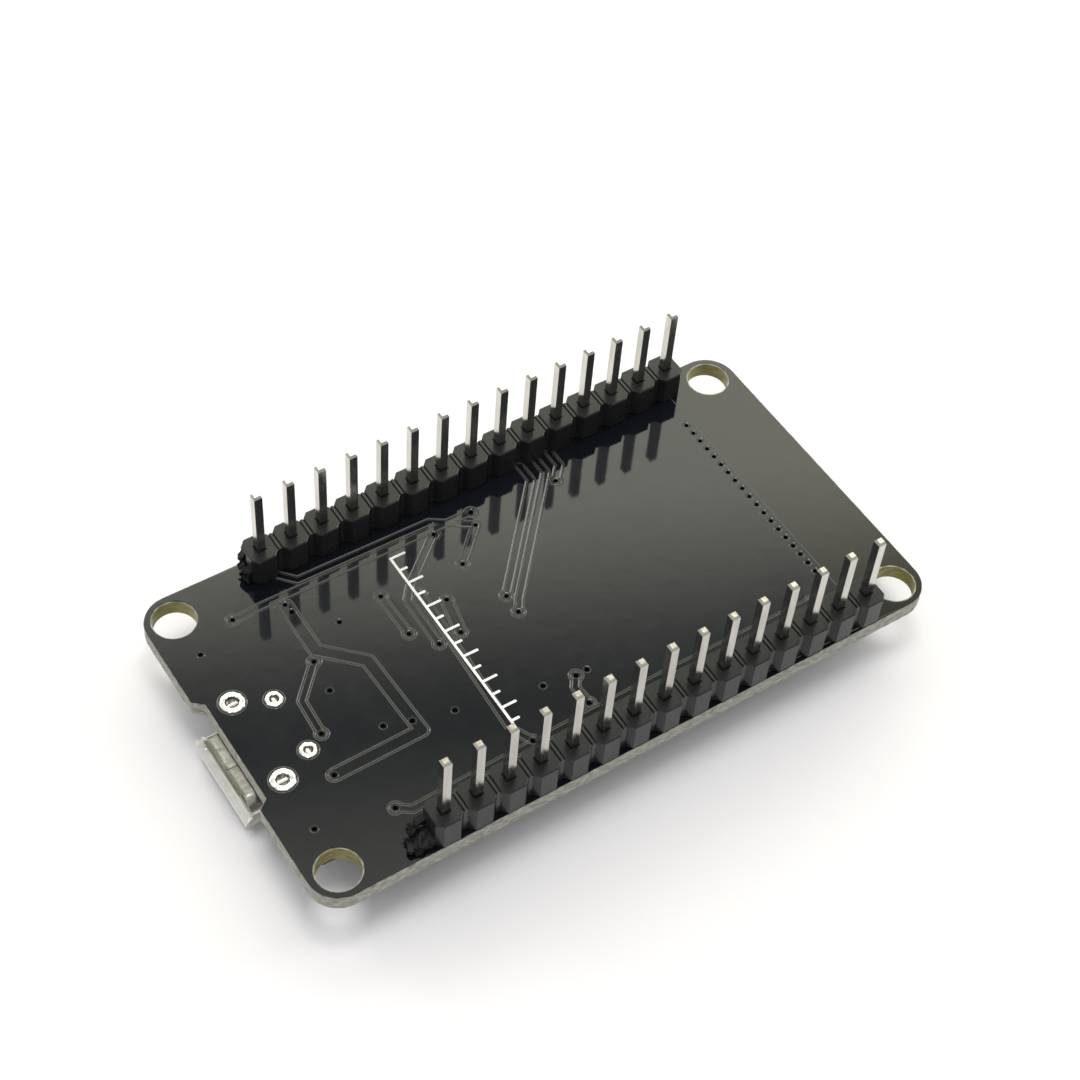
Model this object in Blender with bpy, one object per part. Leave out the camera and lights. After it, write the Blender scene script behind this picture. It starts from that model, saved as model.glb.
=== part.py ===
"""Microcontroller development board with two fifteen-pin headers, lying on its component side.

+Z is the way the header pins point, +X runs from the USB end to the antenna end and +Y towards the
far pin row. The origin is on the surface that the board lies on, under the middle of its outline.
Every piece hangs on one empty at the middle of the board's solder side, so board coordinates are
used below: z = 0 is the solder side and the components are at negative z. Component shapes are
modelled upright, standing on their own seat, and are turned over when they are placed.
"""

import math

import bmesh
import bpy

MM = 0.001

# Circuit board
BOARD_LENGTH = 51.45 * MM
BOARD_WIDTH = 28.0 * MM
BOARD_THICKNESS = 1.4 * MM
BOARD_CORNER = 2.4 * MM
MOUNTING_X = 23.45 * MM
MOUNTING_Y = 11.8 * MM
MOUNTING_RADIUS = 1.6 * MM
NOTCH_DEPTH = 0.77 * MM
NOTCH_HALF_WIDTH = 4.4 * MM
NOTCH_SLOPE = 0.6 * MM
NOTCH_CENTRE_Y = -0.15 * MM

# Fits between pieces that touch on the real board
SEAT_GAP = 0.1 * MM
FIT_GAP = 0.05 * MM

# Header strips and pins
PIN_COUNT = 15
PITCH = 2.54 * MM
ROW_Y = 12.7 * MM
FIRST_PIN_X = -16.0 * MM
PIN_HALF = 0.32 * MM
PIN_TOP = 8.45 * MM
PIN_BOTTOM = -3.0 * MM
PIN_TAPER = 0.2 * MM
PIN_TIP_SHARE = 0.62
PIN_HOLE_RADIUS = 0.5 * MM
STRIP_HEIGHT = 2.5 * MM
STRIP_HALF_WIDTH = 1.25 * MM
SEGMENT_HALF = 1.1 * MM
SEGMENT_CHAMFER = 0.45 * MM

# Radio module
MODULE_LENGTH = 25.5 * MM
MODULE_WIDTH = 18.0 * MM
MODULE_BOARD = 0.8 * MM
MODULE_HEIGHT = 3.1 * MM
MODULE_PAD_PITCH = 1.27 * MM
MODULE_PAD_RADIUS = 0.4 * MM
MODULE_SIDE_PADS = 14
MODULE_END_PADS = 10
MODULE_FIRST_PAD = 1.5 * MM
SHIELD_LENGTH = 17.6 * MM
SHIELD_WIDTH = 15.8 * MM
SHIELD_WALL = 0.2 * MM
SHIELD_INSET = 1.05 * MM
SHIELD_CORNER = 0.8 * MM

# Micro USB receptacle
USB_OVERHANG = 0.4 * MM
USB_CENTRE_Y = -0.2 * MM
USB_REAR_X = -20.45 * MM
USB_FLARE_X = -25.6 * MM
USB_FLARE = 0.2 * MM
USB_HALF_WIDTH = 3.75 * MM
USB_NARROW_HALF = 2.85 * MM
USB_HEIGHT = 2.45 * MM
USB_SHOULDER = 1.0 * MM
USB_ROUND = 0.3 * MM
USB_WALL = 0.3 * MM
USB_FRONT_LEG = (-23.24 * MM, 3.65 * MM)
USB_REAR_LEG = (-20.62 * MM, 2.43 * MM)
USB_FRONT_HOLE = 0.57 * MM
USB_REAR_HOLE = 0.44 * MM

# Push buttons
BUTTON_X = -21.6 * MM
BUTTON_Y = 8.0 * MM
BUTTON_LENGTH = 4.1 * MM
BUTTON_WIDTH = 3.1 * MM
BUTTON_RIM = 1.28 * MM
BUTTON_FLOOR = 0.4 * MM
BUTTON_CAVITY = 1.3 * MM
BUTTON_COVER = 0.25 * MM
BUTTON_HOLE = 0.85 * MM
STEM_RADIUS = 0.75 * MM
STEM_TOP = 2.0 * MM
STEM_FLANGE = 1.15 * MM
STEM_FLANGE_THICKNESS = 0.25 * MM
DOME_SHEET = 0.08 * MM

COMPONENT_SIDE = -BOARD_THICKNESS
SOLDER_SIDE_HEIGHT = MODULE_HEIGHT + SEAT_GAP + BOARD_THICKNESS
BOARD_LEFT = -BOARD_LENGTH / 2
BOARD_RIGHT = BOARD_LENGTH / 2


def clear_scene():
    for item in list(bpy.data.objects):
        bpy.data.objects.remove(item)


def material(name, colour, roughness, metallic=0.0):
    """A Principled material of one colour."""
    made = bpy.data.materials.new(name)
    made.use_nodes = True
    shader = made.node_tree.nodes["Principled BSDF"]
    shader.inputs["Base Color"].default_value = (*colour, 1.0)
    shader.inputs["Roughness"].default_value = roughness
    shader.inputs["Metallic"].default_value = metallic
    return made


def arc(radius, centre, start, end, steps):
    """Points from start to end degrees, both included."""
    angles = [math.radians(start + (end - start) * i / steps) for i in range(steps + 1)]
    return [(centre[0] + radius * math.cos(a), centre[1] + radius * math.sin(a)) for a in angles]


def circle(radius, steps, centre=(0, 0)):
    return arc(radius, centre, 0, 360, steps)[:-1]


def rounded_rectangle(length, width, radius, steps=4):
    """Outline round the origin, anticlockwise."""
    x, y = length / 2 - radius, width / 2 - radius
    corners = [((x, y), 0), ((-x, y), 90), ((-x, -y), 180), ((x, -y), 270)]
    return [p for centre, start in corners for p in arc(radius, centre, start, start + 90, steps)]


def moved(points, x, y):
    return [(px + x, py + y) for px, py in points]


def loop_at(bm, points, z):
    return [bm.verts.new((x, y, z)) for x, y in points]


def wall(bm, low, high):
    """Quads between two loops with the same number of points."""
    for i in range(len(low)):
        bm.faces.new((low[i - 1], low[i], high[i], high[i - 1]))


def plate(outline, holes, z_low, z_high):
    """A flat plate of that outline with holes through it."""
    bm = bmesh.new()
    low = [loop_at(bm, points, z_low) for points in (outline, *holes)]
    high = [loop_at(bm, points, z_high) for points in (outline, *holes)]
    edges = [bm.edges.new((loop[i - 1], loop[i])) for loop in low for i in range(len(loop))]
    above = {v: w for a, b in zip(low, high) for v, w in zip(a, b)}
    filled = bmesh.ops.triangle_fill(bm, edges=edges, use_beauty=True)["geom"]
    for face in [f for f in filled if isinstance(f, bmesh.types.BMFace)]:
        bm.faces.new([above[v] for v in face.verts])
    for low_loop, high_loop in zip(low, high):
        wall(bm, low_loop, high_loop)
    bmesh.ops.recalc_face_normals(bm, faces=bm.faces)
    return bm


def cup(outline, cavity, z_closed, z_floor, z_open):
    """A block of that outline with one cavity, open at z_open."""
    bm = bmesh.new()
    closed, rim = loop_at(bm, outline, z_closed), loop_at(bm, outline, z_open)
    mouth, floor = loop_at(bm, cavity, z_open), loop_at(bm, cavity, z_floor)
    edges = [bm.edges.new((loop[i - 1], loop[i])) for loop in (rim, mouth) for i in range(len(loop))]
    bmesh.ops.triangle_fill(bm, edges=edges, use_beauty=True)
    bm.faces.new(closed)
    bm.faces.new(floor)
    wall(bm, closed, rim)
    wall(bm, mouth, floor)
    bmesh.ops.recalc_face_normals(bm, faces=bm.faces)
    return bm


def revolve(profile, steps, turn=0.0):
    """Turns (radius, z) points about Z. The first and last points are on the axis or are capped."""
    bm = bmesh.new()
    loops = []
    for radius, z in profile:
        if radius == 0:
            loops.append([bm.verts.new((0, 0, z))])
            continue
        angles = [turn + 2 * math.pi * i / steps for i in range(steps)]
        loops.append([bm.verts.new((radius * math.cos(a), radius * math.sin(a), z)) for a in angles])
    for first, second in zip(loops, loops[1:]):
        if len(first) == 1 or len(second) == 1:
            tip, ring = (first, second) if len(first) == 1 else (second, first)
            for i in range(steps):
                bm.faces.new((tip[0], ring[i - 1], ring[i]))
        else:
            wall(bm, first, second)
    for end in (loops[0], loops[-1]):
        if len(end) > 1:
            bm.faces.new(end)
    bmesh.ops.recalc_face_normals(bm, faces=bm.faces)
    return bm


def block(size, centre, chamfer=0.0, into=None):
    """A box, chamfered on all its edges where chamfer isn't 0, added to the mesh that is given."""
    bm = into or bmesh.new()
    made = bmesh.ops.create_cube(bm, size=1.0)["verts"]
    bmesh.ops.scale(bm, vec=size, verts=made)
    bmesh.ops.translate(bm, vec=centre, verts=made)
    if chamfer:
        edges = list({edge for vert in made for edge in vert.link_edges})
        bmesh.ops.bevel(bm, geom=edges, offset=chamfer, segments=1, affect="EDGES")
    return bm


def add(name, bm, look, location, parent, upright=True):
    """One sub-part. A piece that isn't upright is turned over, onto the component side."""
    mesh = bpy.data.meshes.new(name)
    bm.to_mesh(mesh)
    bm.free()
    mesh.materials.append(look)
    return add_copy(name, mesh, location, parent, upright)


def add_copy(name, mesh, location, parent, upright=True):
    made = bpy.data.objects.new(name, mesh)
    bpy.context.scene.collection.objects.link(made)
    made.parent = parent
    made.location = location
    made.rotation_euler = (0 if upright else math.pi, 0, 0)
    return made


def join_on(body, name, bm):
    """Makes the blocks in bm one solid with body, by a Boolean union with a hidden guide."""
    mesh = bpy.data.meshes.new(name)
    bm.to_mesh(mesh)
    bm.free()
    guide = add_copy(name, mesh, body.location, body.parent)
    guide.rotation_euler = body.rotation_euler
    guide.hide_render = True
    guide.display_type = "WIRE"
    union = body.modifiers.new(name, "BOOLEAN")
    union.operation = "UNION"
    union.solver = "EXACT"
    union.object = guide


def seat(x, y):
    """Where a component stands: on the component side, a soldered gap away from the board."""
    return (x, y, COMPONENT_SIDE - SEAT_GAP)


def pin_positions(side):
    return [(FIRST_PIN_X + PITCH * i, side * ROW_Y) for i in range(PIN_COUNT)]


def board_outline():
    """Rounded rectangle with the shallow recess for the receptacle in its left edge, anticlockwise."""
    corners = rounded_rectangle(BOARD_LENGTH, BOARD_WIDTH, BOARD_CORNER, 6)
    half = len(corners) // 2
    low, high = NOTCH_CENTRE_Y - NOTCH_HALF_WIDTH, NOTCH_CENTRE_Y + NOTCH_HALF_WIDTH
    recess = BOARD_LEFT + NOTCH_DEPTH
    notch = [
        (BOARD_LEFT, high + NOTCH_SLOPE),
        (recess, high),
        (recess, low),
        (BOARD_LEFT, low - NOTCH_SLOPE),
    ]
    return corners[:half] + notch + corners[half:]


def circuit_board(parent):
    look = material("solder_mask", (0.012, 0.013, 0.014), 0.12)
    holes = [circle(PIN_HOLE_RADIUS, 12, p) for side in (1, -1) for p in pin_positions(side)]
    for x in (-MOUNTING_X, MOUNTING_X):
        holes += [circle(MOUNTING_RADIUS, 32, (x, y)) for y in (-MOUNTING_Y, MOUNTING_Y)]
    for (x, y), radius in ((USB_FRONT_LEG, USB_FRONT_HOLE), (USB_REAR_LEG, USB_REAR_HOLE)):
        holes += [circle(radius, 16, (x, USB_CENTRE_Y + side * y)) for side in (1, -1)]
    add("circuit_board", plate(board_outline(), holes, COMPONENT_SIDE, 0), look, (0, 0, 0), parent)


def strip_outline():
    """Octagonal segments joined by narrower necks, anticlockwise from the left end's lower corner."""
    neck = STRIP_HALF_WIDTH - SEGMENT_CHAMFER
    flat = SEGMENT_HALF - SEGMENT_CHAMFER
    centres = [PITCH * i for i in range(PIN_COUNT)]
    lower = []
    for x in centres:
        lower += [(x - SEGMENT_HALF, -neck), (x - flat, -STRIP_HALF_WIDTH)]
        lower += [(x + flat, -STRIP_HALF_WIDTH), (x + SEGMENT_HALF, -neck)]
    return lower + [(x, -y) for x, y in reversed(lower)]


def header_strips(parent):
    look = material("header_plastic", (0.02, 0.02, 0.021), 0.45)
    hole = PIN_HALF + FIT_GAP / 2
    square = [(-hole, -hole), (hole, -hole), (hole, hole), (-hole, hole)]
    holes = [moved(square, PITCH * i, 0) for i in range(PIN_COUNT)]
    for name, side in (("header_strip_far", 1), ("header_strip_near", -1)):
        strip = plate(strip_outline(), holes, FIT_GAP, FIT_GAP + STRIP_HEIGHT)
        add(name, strip, look, (FIRST_PIN_X, side * ROW_Y, 0), parent)


def header_pins(parent):
    look = material("tinned_pin", (0.78, 0.77, 0.72), 0.22, 1.0)
    corner = PIN_HALF * math.sqrt(2)
    tip = corner * PIN_TIP_SHARE
    profile = [(tip, PIN_BOTTOM), (corner, PIN_BOTTOM + PIN_TAPER)]
    profile += [(corner, PIN_TOP - PIN_TAPER), (tip, PIN_TOP)]
    first = None
    for row, side in (("far", 1), ("near", -1)):
        for number, (x, y) in enumerate(pin_positions(side), 1):
            name = f"pin_{row}_{number:02d}"
            if first is None:
                first = add(name, revolve(profile, 4, math.pi / 4), look, (x, y, 0), parent)
            else:
                add_copy(name, first.data, (x, y, 0), parent)


def castellated_outline():
    """The module's own board, with half-round solder notches along both sides and its inner end."""
    x, y = MODULE_LENGTH / 2, MODULE_WIDTH / 2
    side = [-x + MODULE_FIRST_PAD + MODULE_PAD_PITCH * i for i in range(MODULE_SIDE_PADS)]
    end_span = MODULE_PAD_PITCH * (MODULE_END_PADS - 1)
    end = [-end_span / 2 + MODULE_PAD_PITCH * i for i in range(MODULE_END_PADS)]
    outline = [(-x, -y)]
    for px in side:
        outline += arc(MODULE_PAD_RADIUS, (px, -y), 180, 0, 4)
    outline += [(x, -y), (x, y)]
    for px in reversed(side):
        outline += arc(MODULE_PAD_RADIUS, (px, y), 0, -180, 4)
    outline.append((-x, y))
    for py in reversed(end):
        outline += arc(MODULE_PAD_RADIUS, (-x, py), 90, -90, 4)
    return outline


def radio_module(parent):
    centre_x = BOARD_RIGHT - MODULE_LENGTH / 2
    laminate = material("module_laminate", (0.01, 0.012, 0.012), 0.25)
    board = plate(castellated_outline(), [], 0, MODULE_BOARD)
    add("module_board", board, laminate, seat(centre_x, 0), parent, upright=False)
    steel = material("shield_steel", (0.66, 0.65, 0.62), 0.3, 1.0)
    shield_x = centre_x - MODULE_LENGTH / 2 + SHIELD_INSET + SHIELD_LENGTH / 2
    outside = rounded_rectangle(SHIELD_LENGTH, SHIELD_WIDTH, SHIELD_CORNER)
    inside = rounded_rectangle(
        SHIELD_LENGTH - 2 * SHIELD_WALL, SHIELD_WIDTH - 2 * SHIELD_WALL, SHIELD_CORNER - SHIELD_WALL
    )
    can = cup(outside, inside, MODULE_HEIGHT, MODULE_HEIGHT - SHIELD_WALL, MODULE_BOARD + FIT_GAP)
    add("module_shield", can, steel, seat(shield_x, 0), parent, upright=False)
    chip = material("chip_resin", (0.03, 0.03, 0.032), 0.55)
    inner = (
        ("module_processor", (6.0, 6.0, 0.85), (-3.2, 1.5), 0.08),
        ("module_flash", (6.0, 5.0, 0.8), (4.2, -2.4), 0.08),
        ("module_crystal", (3.2, 2.5, 0.7), (-3.0, -4.8), 0.1),
    )
    for name, size, (x, y), chamfer in inner:
        length, width, height = (v * MM for v in size)
        middle = MODULE_BOARD + FIT_GAP + height / 2
        piece = block((length, width, height), (0, 0, middle), chamfer * MM)
        look = steel if name == "module_crystal" else chip
        add(name, piece, look, seat(shield_x + x * MM, y * MM), parent, upright=False)


def shell_section(grow):
    """Mouth outline in (y, z), wide on the side away from the board, moved outwards by grow."""
    wide, narrow = USB_HALF_WIDTH + grow, USB_NARROW_HALF + grow * 0.4
    top, low = USB_HEIGHT + grow, -grow
    shoulder = USB_SHOULDER - grow * 0.4
    right = [(narrow, low), (wide, shoulder), (wide, USB_HEIGHT - USB_ROUND)]
    right.append((wide - USB_ROUND - grow * 0.4, top))
    return right + [(-y, z) for y, z in reversed(right)]


def usb_shell(parent):
    look = material("usb_steel", (0.7, 0.69, 0.66), 0.28, 1.0)
    mouth_x = BOARD_LEFT - USB_OVERHANG
    stations = ((USB_REAR_X, 0.0), (USB_FLARE_X, 0.0), (mouth_x, USB_FLARE))
    bm = bmesh.new()
    outer, inner = [], []
    for x, grow in stations:
        outer.append([bm.verts.new((x, y, z)) for y, z in shell_section(grow)])
        inner.append([bm.verts.new((x, y, z)) for y, z in shell_section(grow - USB_WALL)])
    for loops in (outer, inner):
        for first, second in zip(loops, loops[1:]):
            wall(bm, first, second)
    wall(bm, outer[0], inner[0])
    wall(bm, outer[-1], inner[-1])
    bmesh.ops.recalc_face_normals(bm, faces=bm.faces)
    shell = add("usb_shell", bm, look, seat(0, USB_CENTRE_Y), parent, upright=False)
    reach = SEAT_GAP + BOARD_THICKNESS - 0.1 * MM
    legs = bmesh.new()
    x, y = USB_FRONT_LEG
    leg_top = USB_SHOULDER + 0.6 * MM
    for side in (1, -1):
        size = (0.8 * MM, USB_WALL, reach + leg_top)
        block(size, (x, side * (y - 0.02 * MM), (leg_top - reach) / 2), into=legs)
    x, y = USB_REAR_LEG
    for side in (1, -1):
        size = (USB_WALL, 0.55 * MM, reach + 0.2 * MM)
        block(size, (x, side * y, (0.2 * MM - reach) / 2), into=legs)
    join_on(shell, "usb_shell_legs", legs)


def usb_tongue(parent):
    """Moulded insulator: a plug that closes the shell's rear, and the tongue that carries the contacts."""
    look = material("usb_insulator", (0.025, 0.025, 0.027), 0.5)
    bm = bmesh.new()
    section = shell_section(-USB_WALL - FIT_GAP)
    rear = [bm.verts.new((USB_REAR_X - 0.1 * MM, y, z)) for y, z in section]
    front = [bm.verts.new((USB_REAR_X - 1.0 * MM, y, z)) for y, z in section]
    wall(bm, rear, front)
    bm.faces.new(rear)
    bm.faces.new(front)
    bmesh.ops.recalc_face_normals(bm, faces=bm.faces)
    plug = add("usb_tongue", bm, look, seat(0, USB_CENTRE_Y), parent, upright=False)
    length = 3.9 * MM
    tongue = block((length, 3.7 * MM, 0.6 * MM), (USB_REAR_X - 0.8 * MM - length / 2, 0, 1.35 * MM))
    join_on(plug, "usb_tongue_plate", tongue)


def push_button(prefix, side, parent, looks):
    """One tactile switch. The stem's origin is on its slide axis, and it presses towards the board."""
    place = seat(BUTTON_X, side * BUTTON_Y)
    moulding, sheet, cap = looks
    outline = rounded_rectangle(BUTTON_LENGTH, BUTTON_WIDTH, 0.25 * MM, 2)
    base = cup(outline, circle(BUTTON_CAVITY, 24), 0, BUTTON_FLOOR, BUTTON_RIM)
    add(f"{prefix}_button_base", base, moulding, place, parent, upright=False)
    cover_low = BUTTON_RIM + FIT_GAP
    cover = plate(outline, [circle(BUTTON_HOLE, 24)], cover_low, cover_low + BUTTON_COVER)
    add(f"{prefix}_button_cover", cover, sheet, place, parent, upright=False)
    flange_high = BUTTON_RIM
    flange_low = flange_high - STEM_FLANGE_THICKNESS
    stem = [(0, flange_low), (STEM_FLANGE, flange_low), (STEM_FLANGE, flange_high)]
    stem += [(STEM_RADIUS, flange_high), (STEM_RADIUS, STEM_TOP - 0.12 * MM)]
    stem += [(STEM_RADIUS - 0.12 * MM, STEM_TOP), (0, STEM_TOP)]
    add(f"{prefix}_button_stem", revolve(stem, 24), cap, place, parent, upright=False)
    rim, apex = BUTTON_FLOOR + FIT_GAP, flange_low - FIT_GAP
    rise = apex - rim - DOME_SHEET
    radii = [STEM_FLANGE * k / 4 for k in range(5)]
    bulge = [(r, rim + rise * (1 - (r / STEM_FLANGE) ** 2)) for r in radii]
    dome = bulge + [(r, z + DOME_SHEET) for r, z in reversed(bulge)]
    add(f"{prefix}_button_dome", revolve(dome, 24), sheet, place, parent, upright=False)


def push_buttons(parent):
    looks = (
        material("button_moulding", (0.03, 0.03, 0.03), 0.5),
        material("button_sheet", (0.7, 0.69, 0.66), 0.3, 1.0),
        material("button_cap", (0.05, 0.05, 0.05), 0.4),
    )
    push_button("reset", 1, parent, looks)
    push_button("boot", -1, parent, looks)


def leaded_package(name, size, leads, place, looks, parent):
    """A moulded body with flat leads at its foot. leads holds (x, y, length, width) in millimetres."""
    length, width, height = (v * MM for v in size)
    lead_height = 0.2 * MM
    body = block((length, width, height - 0.1 * MM), (0, 0, height / 2 + 0.05 * MM), 0.1 * MM)
    made = add(name, body, looks, seat(place[0] * MM, place[1] * MM), parent, upright=False)
    feet = bmesh.new()
    for x, y, lead_length, lead_width in leads:
        lead = (lead_length * MM, lead_width * MM, lead_height)
        block(lead, (x * MM, y * MM, lead_height / 2), into=feet)
    join_on(made, f"{name}_leads", feet)


def power_parts(parent):
    resin = material("package_resin", (0.028, 0.028, 0.03), 0.5)
    three = [(x, -2.3, 0.7, 2.4) for x in (-2.3, 0.0, 2.3)]
    leaded_package(
        "voltage_regulator", (6.5, 3.5, 1.6), [*three, (0, 2.3, 3.0, 2.4)], (-13.4, 5.6), resin, parent
    )
    ends = [(-1.5, 0, 0.8, 0.6), (1.5, 0, 0.8, 0.6)]
    leaded_package("protection_diode", (2.7, 1.6, 1.1), ends, (-17.0, -5.2), resin, parent)
    pair = [(-0.95, -0.9, 0.42, 0.7), (0.95, -0.9, 0.42, 0.7), (0, 0.9, 0.42, 0.7)]
    for number, x in enumerate((-13.6, -9.6), 1):
        leaded_package(f"transistor_{number}", (2.9, 1.3, 1.0), pair, (x, -7.2), resin, parent)
    tantalum = material("tantalum_resin", (0.62, 0.38, 0.06), 0.45)
    terminals = [(-1.5, 0, 0.6, 1.1), (1.5, 0, 0.6, 1.1)]
    for name, y in (("input_capacitor", 7.6), ("output_capacitor", 4.4)):
        leaded_package(name, (3.2, 1.6, 1.6), terminals, (-6.6, y), tantalum, parent)


def serial_chip(parent):
    resin = material("serial_chip_resin", (0.026, 0.026, 0.028), 0.5)
    chip = block((5.0 * MM, 5.0 * MM, 0.85 * MM), (0, 0, 0.425 * MM), 0.06 * MM)
    add("usb_serial_chip", chip, resin, seat(-11.6 * MM, -1.6 * MM), parent, upright=False)


def indicator_lamps(parent):
    for name, colour, y in (("power_led", (0.8, 0.1, 0.06), -6.9), ("status_led", (0.1, 0.2, 0.8), -4.2)):
        look = material(f"{name}_lens", colour, 0.2)
        lens = block((1.2 * MM, 1.15 * MM, 0.6 * MM), (0, 0, 0.5 * MM), 0.08 * MM)
        lamp = add(name, lens, look, seat(-5.0 * MM, y * MM), parent, upright=False)
        join_on(lamp, f"{name}_base", block((2.0 * MM, 1.25 * MM, 0.3 * MM), (0, 0, 0.15 * MM)))


def main():
    clear_scene()
    origin = bpy.data.objects.new("board_origin", None)
    bpy.context.scene.collection.objects.link(origin)
    origin.location = (USB_OVERHANG / 2, 0, SOLDER_SIDE_HEIGHT)
    circuit_board(origin)
    header_strips(origin)
    header_pins(origin)
    radio_module(origin)
    usb_shell(origin)
    usb_tongue(origin)
    push_buttons(origin)
    power_parts(origin)
    serial_chip(origin)
    indicator_lamps(origin)


main()
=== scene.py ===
"""Looks of a microcontroller board round its CAD frame: materials, copper relief and small parts.

Places are in board coordinates in millimetres, with the origin at the middle of the solder side:
+X runs from the USB end to the antenna end, +Y towards the far pin row and +Z the way the pins
point. The components are on the other side, at negative z.
"""

import math

import bmesh
import bpy
import numpy as np
from mathutils import Matrix, Vector, noise
from mathutils.geometry import delaunay_2d_cdt


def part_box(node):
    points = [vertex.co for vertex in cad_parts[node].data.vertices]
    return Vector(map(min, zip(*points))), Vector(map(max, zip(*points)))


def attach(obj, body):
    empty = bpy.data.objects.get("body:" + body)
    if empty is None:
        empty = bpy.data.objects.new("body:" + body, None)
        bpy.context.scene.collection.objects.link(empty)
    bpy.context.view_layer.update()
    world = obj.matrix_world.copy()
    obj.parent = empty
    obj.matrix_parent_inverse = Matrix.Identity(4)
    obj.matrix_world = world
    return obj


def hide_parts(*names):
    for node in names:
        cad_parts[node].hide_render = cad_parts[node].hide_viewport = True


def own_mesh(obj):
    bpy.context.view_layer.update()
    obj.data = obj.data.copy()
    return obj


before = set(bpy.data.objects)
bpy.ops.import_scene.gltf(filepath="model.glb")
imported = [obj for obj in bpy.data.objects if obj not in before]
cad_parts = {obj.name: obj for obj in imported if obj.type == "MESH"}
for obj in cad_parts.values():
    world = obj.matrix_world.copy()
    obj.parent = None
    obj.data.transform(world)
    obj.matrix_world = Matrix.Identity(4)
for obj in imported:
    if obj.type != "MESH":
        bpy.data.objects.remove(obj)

# noise_vector follows the clock unless it has a seed
noise.seed_set(2)

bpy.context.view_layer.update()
MM = 0.001

# The frame's own places
BOARD_LOW, BOARD_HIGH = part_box("circuit_board")
ORIGIN = Vector(((BOARD_LOW.x + BOARD_HIGH.x) / 2, (BOARD_LOW.y + BOARD_HIGH.y) / 2, BOARD_HIGH.z))


def frame_box(node):
    """Lowest and highest corner of a CAD node in board coordinates."""
    low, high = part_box(node)
    return (low - ORIGIN) / MM, (high - ORIGIN) / MM


def middle_of(node):
    """The (x, y) of a CAD node's middle."""
    low, high = frame_box(node)
    return (low.x + high.x) / 2, (low.y + high.y) / 2


def pin_row(row):
    """The (x, y) of each pin of the far or the near row."""
    return [middle_of(name) for name in sorted(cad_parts) if name.startswith(f"pin_{row}_")]


BOARD_HALF_LENGTH, BOARD_HALF_WIDTH = frame_box("circuit_board")[1].xy
COMPONENT_SIDE = frame_box("circuit_board")[0].z
FAR_PINS = pin_row("far")
NEAR_PINS = pin_row("near")
PITCH = FAR_PINS[1][0] - FAR_PINS[0][0]
PIN_HALF = frame_box("pin_far_01")[1].x - FAR_PINS[0][0]
STRIP_LOW, STRIP_TOP = (corner.z for corner in frame_box("header_strip_far"))

# Board outline and holes. LEG_HOLE is a share of the radius of a receptacle leg's solder.
CORNER = 2.4
NOTCH_DEPTH = 0.77
NOTCH_HALF = 4.4
NOTCH_SLOPE = 0.6
NOTCH_Y = -0.15
MOUNTING_HOLES = [(x, y) for x in (-23.45, 23.45) for y in (-11.8, 11.8)]
MOUNTING_RADIUS = 1.6
USB_Y = -0.2
USB_LEGS = [(-23.24, USB_Y + 3.65, 0.89), (-23.24, USB_Y - 3.65, 0.89)]
USB_LEGS += [(-20.62, USB_Y + 2.43, 0.64), (-20.62, USB_Y - 2.43, 0.64)]
PIN_HOLE = 0.5
LEG_HOLE = 0.59
MASK_INSET = 0.07
MASK_THICKNESS = 0.04
CORE_GAP = 0.02

# Components: height of their seat over the board, and the receptacle's stations, lip and windows
SEAT = 0.1
SHELL_STATIONS = (-20.45, -21.7, -23.9, -25.1, -25.55, -25.72, -25.86, -25.98, -26.08, -26.12)
LIP_START = -25.5
SHELL_WINDOW = (1.75, 2.75)

# Headers: chamfer of each segment, and the (size, offset in Y, lowest height, seed) of each torn fin
CHAMFER = 0.45
TORN_FINS = {
    "far": [((0.5, 0.5, 1.1), 0.45, 1.3, 3.0), ((0.6, 1.3, 1.0), -0.05, 0.2, 8.0)],
    "near": [((1.5, 0.45, 0.7), 0.62, 1.1, 11.0), ((1.9, 1.3, 0.8), -0.2, 0.05, 5.0)],
}

# Copper relief under the solder mask
GROOVE = 0.25
SLOPE = 0.1
RELIEF = 0.06
SLOPE_STEPS = (0.0, 0.33, 0.67, 1.0)
VIA_RADIUS = 0.36
DRILL_RADIUS = 0.13
DRILL_SLOPE = 0.05
DRILL_DEPTH = 0.34
DISH_RADIUS = 0.33
DISH_SLOPE = 0.06
DISH_DEPTH = 0.022
THIN = 0.17
WIDE = 0.38
POUR_END = 19.64
# Paler tone on the mask's slopes over copper's edges: partly the thin mask's own colour, partly a painted
# highlight along each groove
STEP_HIGHLIGHT_SHARE = 0.8
STEP_TONE_AND_HIGHLIGHT = (0.15, 0.148, 0.13)
STITCH_X = 19.1
STITCH_TOP = 8.6
STITCH_STEP = 0.92
STITCH_COUNT = 19

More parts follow.
